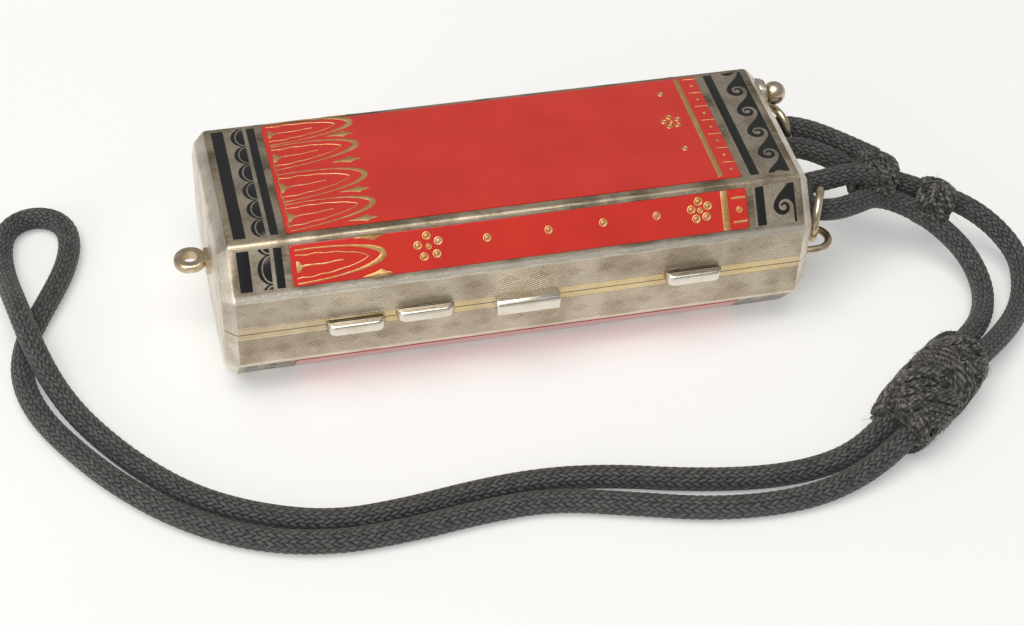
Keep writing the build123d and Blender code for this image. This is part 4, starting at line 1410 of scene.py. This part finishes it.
@dataclass(frozen=True)
class Wrapping:
    """A knot or bead of threads plaited over a barrel on the cord."""

    name: str
    node: str
    at: Triple
    along: Triple
    half: float
    radius: float
    end_radius: float
    bands: int
    threads: int
    turns: float
    thread_radius: float
    twist: float = 1.1
    fibre_radius: float = 0.022

    def surface(self, share: np.ndarray) -> tuple[np.ndarray, np.ndarray]:
        """Distance along the axis and radius of the barrel, with ends that roll in.

        Args:
            share: Place along the barrel from 0 to 1.

        Returns:
            Distances and radii in millimetres.
        """
        lean = 2 * share - 1
        along = self.half * np.clip(lean * 1.12, -1, 1) * (1 - 0.06 * np.abs(lean) ** 6)
        swell = np.sqrt(np.clip(1 - lean ** 2 * 0.96, 0, 1))
        belly = self.end_radius + (self.radius - self.end_radius) * swell
        roll = np.clip((np.abs(lean) - 0.86) / 0.14, 0, 1)
        return along, belly * (1 - 0.42 * roll ** 1.6)

    def build(self, finishes: Finishes, seed: int) -> list[Piece]:
        """Build the core, the plaited threads and the loose fibres.

        Args:
            finishes: The finishes.
            seed: Seed of the threads' wander.

        Returns:
            The pieces.
        """
        rng = np.random.default_rng(seed)
        axis = np.array(Vector(self.along).normalized())
        side = np.cross(axis, (0, 0, 1))
        side /= np.linalg.norm(side)
        up = np.cross(side, axis)
        centre = np.array(self.at)
        steps = 46
        share = np.linspace(0, 1, steps)
        along, radius = self.surface(share)
        parts = []
        band_width = math.tau / self.bands
        for hand in (1, -1):
            for band in range(self.bands):
                for thread in range(self.threads):
                    offset = ((thread + 0.5) / self.threads - 0.5) * band_width * 0.94
                    drift = rng.normal(0, 0.035)
                    wander = drift + 0.03 * np.sin(share * rng.uniform(4, 9) + rng.uniform(0, 6))
                    angle = hand * (share * self.turns * math.tau) + band * band_width + offset + wander
                    phase = (angle - hand * share * self.turns * math.tau * 2) / band_width
                    over = np.cos(math.pi * (phase + band))
                    lift = self.thread_radius * (1.35 * over * hand - 0.45)
                    place = (thread + 0.5) / self.threads * math.pi - math.pi / 2
                    crown = self.thread_radius * 0.55 * math.cos(place)
                    out = radius - self.thread_radius + np.minimum(lift, 0) + crown * 0.5
                    line = centre + np.outer(along, axis) + (out * np.cos(angle))[:, None] * side \
                        + (out * np.sin(angle))[:, None] * up
                    parts.append(self.thread_tube(line, share))
        piece = Bench.join(parts, self.name)
        Bench.dress(piece, Body.BASE, Slot.CORD, finishes.thread, replaces=[self.node])
        core_profile = [(a, max(r - 2.2 * self.thread_radius, 0.2))
                        for a, r in zip(along[2:-2], radius[2:-2])]
        core_profile = [(core_profile[0][0], 0.0)] + core_profile + [(core_profile[-1][0], 0.0)]
        core = Bench.lathe(self.name + "_core", core_profile, Vector(self.at), Vector(axis), 40)
        Bench.dress(core, Body.BASE, Slot.CORD, finishes.wadding)
        return [piece, core, self.fibres(finishes, rng, centre, axis, side, up)]

    def thread_tube(self, line: np.ndarray, share: np.ndarray) -> Piece:
        """One thread as a five-sided tube along a line in millimetres."""
        length = np.linalg.norm(np.diff(line, axis=0), axis=1).sum()
        u, v = np.meshgrid(np.linspace(0, 1, 6), share * length / self.twist)
        return thin_tube(self.name + "_thread", line, self.thread_radius, np.stack((u, v), axis=-1))

    def fibres(self, finishes: Finishes, rng: np.random.Generator, centre: np.ndarray, axis: np.ndarray,
               side: np.ndarray, up: np.ndarray) -> Piece:
        """Loose pale fibres that curl off the threads."""
        parts = []
        for _ in range(int(self.half * 14)):
            share = rng.uniform(0.04, 0.96)
            along, radius = self.surface(np.array([share]))
            angle = rng.uniform(0, math.tau)
            outward = side * math.cos(angle) + up * math.sin(angle)
            around = np.cross(axis, outward)
            root = centre + axis * along[0] + outward * (radius[0] - 0.05)
            length = rng.uniform(0.9, 2.4)
            lean = rng.normal(0, 1, 2)
            step = np.linspace(0, 1, 6)[:, None]
            line = root + step * length * (axis * lean[0] + around * lean[1]) * 0.6 \
                + outward * (np.sin(step * math.pi * rng.uniform(0.7, 1.0)) * rng.uniform(0.1, 0.38))
            parts.append(thin_tube("fibre", line, self.fibre_radius, np.zeros((len(line), 4, 2))))
        piece = Bench.join(parts, self.name + "_fibres")
        return Bench.dress(piece, Body.BASE, Slot.CORD, finishes.fibre)


@dataclass(frozen=True)
class WristCord:
    """The braided cord with its two knots and its sliding bead."""

    finishes: Finishes
    radius: float = 1.6
    strands: int = 16
    lay: float = 1.2
    sides: int = 48
    ring_step: float = 0.264
    length: float = 0.539
    valley: float = 0.17
    strand_height: float = 0.20
    first_seed: int = 11
    route: tuple[Triple, ...] = (
        (57.8, -4.2, 13.6), (52.6, -3.5, 14.9), (48.0, -4.3, 14.8), (43.6, -4.6, 14.6),
        (43.6, -9.5, 14.2), (47.6, -9.7, 13.6), (51.8, -7.6, 12.4), (56.0, -4.8, 11.0),
        (60.8, -5.7, 9.2), (65.2, -7.7, 6.8), (68.8, -12.0, 4.2), (69.4, -17.8, 2.7),
        (67.3, -23.4, 2.6), (63.4, -28.4, 3.9), (58.4, -32.4, 4.9), (51.2, -38.2, 5.1),
        (44.0, -44.1, 4.4), (38.6, -46.6, 2.5), (32.0, -47.5, 1.7), (24.0, -47.2, 1.6),
        (15.0, -45.5, 1.6), (6.0, -43.0, 1.6), (-3.0, -41.8, 1.6), (-12.5, -42.2, 1.6),
        (-22.0, -43.5, 1.6), (-31.5, -43.8, 1.6), (-40.5, -40.9, 1.6), (-48.6, -36.1, 1.6),
        (-55.3, -29.1, 1.6), (-60.9, -20.9, 1.7), (-64.2, -14.4, 2.2), (-66.3, -9.0, 3.8),
        (-67.7, -3.8, 5.2), (-68.6, 1.2, 5.2), (-69.4, 6.6, 3.6), (-70.1, 12.0, 2.1),
        (-70.3, 16.6, 1.7), (-69.8, 20.7, 1.6), (-68.0, 23.4, 1.6), (-65.1, 24.4, 1.6),
        (-62.2, 23.4, 1.6), (-60.5, 20.8, 1.6), (-60.3, 16.9, 1.6), (-61.4, 12.3, 1.6),
        (-63.5, 7.4, 1.6), (-66.1, 2.2, 1.6), (-68.5, -3.6, 1.6),
        (-69.2, -9.8, 1.6), (-67.6, -16.6, 1.6), (-63.9, -23.6, 1.6), (-58.3, -31.6, 1.6),
        (-51.1, -39.0, 1.6), (-42.2, -44.7, 1.6), (-32.2, -47.3, 1.6), (-22.0, -47.0, 1.6),
        (-12.4, -45.8, 1.6), (-2.8, -45.5, 1.6), (7.2, -48.3, 1.6), (17.0, -51.2, 1.6),
        (26.0, -52.2, 1.6), (33.6, -51.6, 1.7), (40.4, -49.6, 2.6), (46.2, -46.7, 4.4),
        (53.4, -40.8, 5.1), (60.6, -34.9, 4.9), (66.7, -30.2, 3.9), (71.8, -25.0, 2.7),
        (75.2, -19.6, 2.5), (76.6, -13.9, 3.6), (74.4, -8.9, 5.6), (70.4, -5.6, 7.7),
        (65.4, -3.9, 9.3), (60.8, -2.1, 10.6), (56.4, -0.5, 11.2), (51.8, 1.6, 13.2),
        (47.6, 4.3, 14.1), (43.6, 4.7, 14.2), (43.6, 9.6, 14.2), (47.4, 9.3, 14.3),
        (51.8, 5.9, 14.4), (57.2, -0.4, 14.3),
    )
    wrappings: tuple[Wrapping, ...] = (
        Wrapping("inner_knot_threads", "inner_knot", (56.4, -2.3, 12.5), (0.96, -0.18, -0.24),
                 2.8, 3.9, 2.6, 4, 5, 0.34, 0.36),
        Wrapping("outer_knot_threads", "outer_knot", (65.3, -5.2, 8.4), (0.88, -0.38, -0.28),
                 2.6, 3.8, 2.4, 4, 5, 0.34, 0.36),
        Wrapping("sliding_bead_threads", "slide_bead", (52.3, -39.5, 5.0), (0.776, 0.63, 0.0),
                 9.2, 5.0, 3.7, 5, 8, 0.66, 0.33),
    )

    def centreline(self) -> np.ndarray:
        """Points along the route's smooth spline, in millimetres."""
        curve = bpy.data.curves.new("cord_route", "CURVE")
        curve.dimensions = "3D"
        curve.resolution_u = 10
        spline = curve.splines.new("NURBS")
        spline.points.add(len(self.route) - 1)
        for point, place in zip(spline.points, self.route):
            point.co = (*(value * MM for value in place), 1)
        spline.order_u = 3
        spline.use_endpoint_u = True
        holder = bpy.data.objects.new("cord_route", curve)
        bpy.context.scene.collection.objects.link(holder)
        mesh = bpy.data.meshes.new_from_object(holder)
        points = np.array([vertex.co for vertex in mesh.vertices]) / MM
        bpy.data.meshes.remove(mesh)
        bpy.data.objects.remove(holder)
        return points

    def braid(self, line: np.ndarray) -> Piece:
        """The braided tube along an even line in millimetres."""
        _, sides, ups = carry_frames(line)
        count = len(line)
        u = np.arange(self.sides) / self.sides
        along = np.arange(count) * np.linalg.norm(np.diff(line, axis=0), axis=1).mean() / self.lay
        uu, vv = np.meshgrid(u, along)
        first, second = uu * self.strands + vv, uu * self.strands - vv
        height = self.plait(first, second)
        radius = self.radius - self.valley + self.strand_height * height
        turn = uu * math.tau
        rings = line[:, None] + radius[..., None] * (np.cos(turn)[..., None] * sides[:, None]
                                                     + np.sin(turn)[..., None] * ups[:, None])
        closed = np.concatenate((uu, np.ones((count, 1))), axis=1)
        level = np.concatenate((vv, vv[:, :1]), axis=1)
        uv = np.stack((closed * self.strands + level, closed * self.strands - level), axis=-1)
        return grid_mesh("braided_cord", rings * MM, uv, "plait")

    @staticmethod
    def plait(first: np.ndarray, second: np.ndarray) -> np.ndarray:
        """Height of a two-over-two braid.

        Args:
            first: Place across the strands of one hand, a whole number between two strands.
            second: The same for the other hand.

        Returns:
            Height from 0 to 1.
        """
        def hump(place: np.ndarray) -> np.ndarray:
            """Round back of a strand."""
            return np.sqrt(np.clip(1 - (2 * (place - np.floor(place)) - 1) ** 2, 0, 1))
        rise_first = np.sin(math.pi / 2 * ((np.floor(first) + second) % 4))
        rise_second = -np.sin(math.pi / 2 * ((np.floor(second) + first) % 4))
        top_first = 0.55 * hump(first) + 0.45 * rise_first
        top_second = 0.55 * hump(second) + 0.45 * rise_second
        return np.clip(np.maximum(top_first, top_second), 0, 1)

    def build(self) -> None:
        smooth = self.centreline()
        line = even_points(smooth, self.ring_step)
        cord = self.braid(line)
        Bench.dress(cord, Body.BASE, Slot.CORD, self.finishes.braid, replaces=["wrist_cord"])
        pieces = []
        for seed, wrapping in enumerate(self.wrappings):
            pieces += wrapping.build(self.finishes, self.first_seed + seed)


# ---------------------------------------------------------------- fittings


@dataclass(frozen=True)
class Fittings:
    """Rings, staples, eye, knob, hinge, tabs and clasp."""

    finishes: Finishes
    tab_root: float = -17.5
    tab_rounding: float = 0.36
    clasp_rounding: float = 0.25
    sharp_degrees: float = 35.0
    wire_fattening: float = 0.10

    def outside(self, edge: Edge) -> bool:
        """True for an edge that stands out from the front wall."""
        return all(vertex.co.y < self.tab_root * MM for vertex in edge.verts)

    @staticmethod
    def paint(node: str, material: bpy.types.Material) -> None:
        """Give a CAD node a finish."""
        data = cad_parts[node].data
        for index in range(max(1, len(data.materials))):
            if index < len(data.materials):
                data.materials[index] = material
            else:
                data.materials.append(material)

    def rounded(self, node: str, name: str, body: Body, slot: Slot, material: bpy.types.Material,
                width: float = 0.0, degrees: float = 35.0, test: Callable | None = None,
                fatten: float = 0.0) -> None:
        """A CAD node's shape, smooth, with the edges that pass a test rounded.

        Args:
            node: The CAD node.
            name: Name of the new piece.
            body: The body it rides on.
            slot: Its slot.
            material: Its finish.
            width: Width of the rounding.
            degrees: Least angle of a rounded edge.
            test: Says which edges are rounded.
            fatten: How far the surface is moved outwards.
        """
        piece = Bench.copy_node(node, name)
        if fatten:
            with Bench.editing(piece, "VERT"):
                bpy.ops.mesh.select_all(action="SELECT")
                bpy.ops.transform.shrink_fatten(value=fatten * MM)
        if width:
            Bench.round_edges(piece, width, degrees, 4, test)
        Bench.smooth(piece, 30)
        Bench.dress(piece, body, slot, material, replaces=[node])

    def build(self) -> None:
        """Dress the fittings."""
        finishes = self.finishes
        for node, body in (("powder_lid", Body.POWDER), ("rouge_lid", Body.ROUGE),
                           ("mirror_frame", Body.MIRROR)):
            self.rounded(node, node + "_plate", body, Slot.GILT, finishes.polished, self.tab_rounding,
                         self.sharp_degrees, self.outside)
        self.rounded("clasp", "clasp_thumb", Body.LID, Slot.SILVER, finishes.polished, self.clasp_rounding,
                     self.sharp_degrees, self.outside)
        for node, body in (("tassel_eye", Body.BASE), ("staple_front", Body.BASE), ("staple_rear", Body.BASE),
                           ("ring_front", Body.BASE), ("ring_rear", Body.BASE), ("ball_knob", Body.PENCIL)):
            self.rounded(node, node + "_wire", body, Slot.SILVER, finishes.wire,
                         fatten=self.wire_fattening if node.startswith(("ring", "staple")) else 0.0)
        for node in ("base_knuckles", "lid_knuckles", "hinge_pin", "pencil_sleeve"):
            self.paint(node, finishes.polished)
        for node in ("compartment_tray", "lid_liner", "powder_lid_pin", "rouge_lid_pin", "mirror_hinge_pin",
                     "catch_spring", "lipstick_tube", "lipstick_cap", "lipstick_carrier"):
            self.paint(node, finishes.gilt)
        for node, material in (("mirror_glass", finishes.glass), ("powder_cake", finishes.powder),
                               ("rouge_cake", finishes.rouge), ("lipstick_bullet", finishes.wax),
                               ("pencil", finishes.lacquer)):
            self.paint(node, material)


@dataclass(frozen=True)
class Puff:
    """The velour puff that lies on the powder: a soft pad, crowned on both sides, drawn in along its seam."""

    node: str = "powder_puff"
    corner: float = 3.0
    crown: float = 0.42
    side_inset: float = 0.12
    seam_draw: float = 0.975
    corner_steps: int = 8
    fill: float = 0.6
    roll: tuple[tuple[float, float], ...] = ((0.10, 0.22), (0.16, 0.20), (0.26, 0.18), (0.45, 0.16),
                                             (0.8, 0.12))
    dome: tuple[tuple[float, float], ...] = ((0.72, 0.08), (0.5, 0.04))

    def build(self, finishes: Finishes) -> None:
        """Build the puff inside its node's box.

        Args:
            finishes: The object's finishes.
        """
        low, high = (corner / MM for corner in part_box(self.node))
        inset = self.side_inset
        middle = (low + high) / 2
        piece = Bench.block("velour_puff", (low.x + inset, low.y + inset, low.z + self.crown),
                            (high.x - inset, high.y - inset, high.z - self.crown))
        with Bench.editing(piece, "EDGE") as mesh:
            Bench.mark(piece, mesh.edges, Bench.upright)
            bpy.ops.mesh.bevel(offset=self.corner * MM, segments=self.corner_steps, affect="EDGES")
        for side in (1, -1):
            with Bench.editing(piece) as mesh:
                Bench.mark(piece, mesh.faces, lambda f: f.normal.z * side > 0.9)
                for thickness, share in self.roll:
                    bpy.ops.mesh.inset(thickness=thickness * MM)
                    bpy.ops.transform.translate(value=(0, 0, side * share * self.crown * MM))
                for scale, share in self.dome:
                    bpy.ops.mesh.extrude_region_move(
                        TRANSFORM_OT_translate={"value": (0, 0, side * share * self.crown * MM)})
                    bpy.ops.transform.resize(value=(scale, scale, 1), center_override=middle * MM)
        with Bench.editing(piece, "VERT"):
            bpy.ops.mesh.select_all(action="SELECT")
            bpy.ops.mesh.bisect(plane_co=middle * MM, plane_no=(0, 0, 1))
        with Bench.editing(piece, "VERT") as mesh:
            Bench.mark(piece, mesh.verts, lambda v: abs(v.co.z - middle.z * MM) < 0.01 * MM)
            bpy.ops.transform.resize(value=(self.seam_draw, self.seam_draw, 1), center_override=middle * MM)
        Bench.modify(piece, "SUBSURF", levels=2, render_levels=2)
        Bench.outward(piece)
        Bench.smooth(piece, 60)
        Bench.dress(piece, Body.BASE, Slot.PUFF, finishes.velour, replaces=[self.node])


# ---------------------------------------------------------------- studio


@dataclass(frozen=True)
class Studio:
    """Camera, floor and soft light."""

    camera_at: Triple = (-59.43, -228.31, 214.5)
    camera_forward: Triple = (0.1920, 0.7034, -0.6843)
    camera_right: Triple = (0.9725, -0.2299, 0.0366)
    camera_up: Triple = (0.1315, 0.6726, 0.7283)
    lens: float = 75.97
    sensor: float = 36.0
    floor_side: float = 6.0
    floor_glow: float = 0.30
    paper_light: Triple = (0.66, 0.655, 0.645)
    paper_dark: Triple = (0.63, 0.625, 0.615)
    air_strength: float = 0.40

    def camera(self) -> None:
        """The camera."""
        data = bpy.data.cameras.new("studio_camera")
        data.lens = self.lens
        data.sensor_width = self.sensor
        data.clip_start, data.clip_end = 0.01, 10.0
        camera = bpy.data.objects.new("studio_camera", data)
        back = -Vector(self.camera_forward)
        turn = Matrix((Vector(self.camera_right), Vector(self.camera_up), back)).transposed()
        camera.matrix_world = Matrix.Translation(Vector(self.camera_at) * MM) @ turn.to_4x4()
        bpy.context.scene.collection.objects.link(camera)
        bpy.context.scene.camera = camera

    def floor(self) -> None:
        """A plain pale floor with a faint glow of its own."""
        Bench.clear()
        bpy.ops.mesh.primitive_plane_add(size=self.floor_side, location=(0, 0, 0))
        floor = bpy.context.active_object
        floor.name = "studio_floor"
        bench = NodeBench("studio_paper")
        soft = bench.noise(bench.millimetres(), 0.004, 2.0)
        tone = bench.mix(bench.span(soft, 0.3, 0.7), self.paper_light, self.paper_dark)
        bench.link(tone, "Base Color")
        bench.set(Roughness=0.9, Specular_IOR_Level=0.1, Emission_Color=(1.0, 0.995, 0.985, 1),
                  Emission_Strength=self.floor_glow)
        floor.data.materials.append(bench.material)

    def light(self, name: str, place: Sequence[float], aim: Sequence[float], size: float, watts: float,
              colour: Sequence[float] = (1, 1, 1)) -> None:
        """A large soft lamp.

        Args:
            name: Its name.
            place: Where it is, in metres.
            aim: What it faces.
            size: Its side.
            watts: Its power.
            colour: Its colour.
        """
        data = bpy.data.lights.new(name, "AREA")
        data.shape = "SQUARE"
        data.size = size
        data.energy = watts
        data.color = colour
        lamp = bpy.data.objects.new(name, data)
        lamp.location = place
        lamp.rotation_mode = "QUATERNION"
        lamp.rotation_quaternion = (Vector(aim) - Vector(place)).to_track_quat("-Z", "Y")
        bpy.context.scene.collection.objects.link(lamp)

    def build(self) -> None:
        """Set up the studio."""
        self.camera()
        self.floor()
        world = bpy.data.worlds.new("studio_air")
        world.use_nodes = True
        air = world.node_tree.nodes["Background"]
        air.inputs["Color"].default_value = (0.80, 0.80, 0.80, 1)
        air.inputs["Strength"].default_value = self.air_strength
        bpy.context.scene.world = world
        self.light("overhead_softbox", (-0.25, -0.22, 1.05), (0, 0, 0), 0.95, 10.0, (1.0, 0.99, 0.97))
        self.light("side_softbox", (-0.95, -0.75, 0.42), (0, 0, 0), 0.7, 4.2, (1.0, 0.985, 0.96))
        view = bpy.context.scene.view_settings
        view.view_transform = "Standard"
        view.look = "None"
        view.exposure = 0.0


def main() -> None:
    """Build every sub-assembly in order."""
    logging.basicConfig(level=logging.INFO, format="%(message)s")
    finishes = Finishes()
    Studio().build()
    WristCord(finishes).build()
    Case(finishes).build()
    Fittings(finishes).build()
    Puff().build(finishes)


if __name__ == "__main__":
    main()
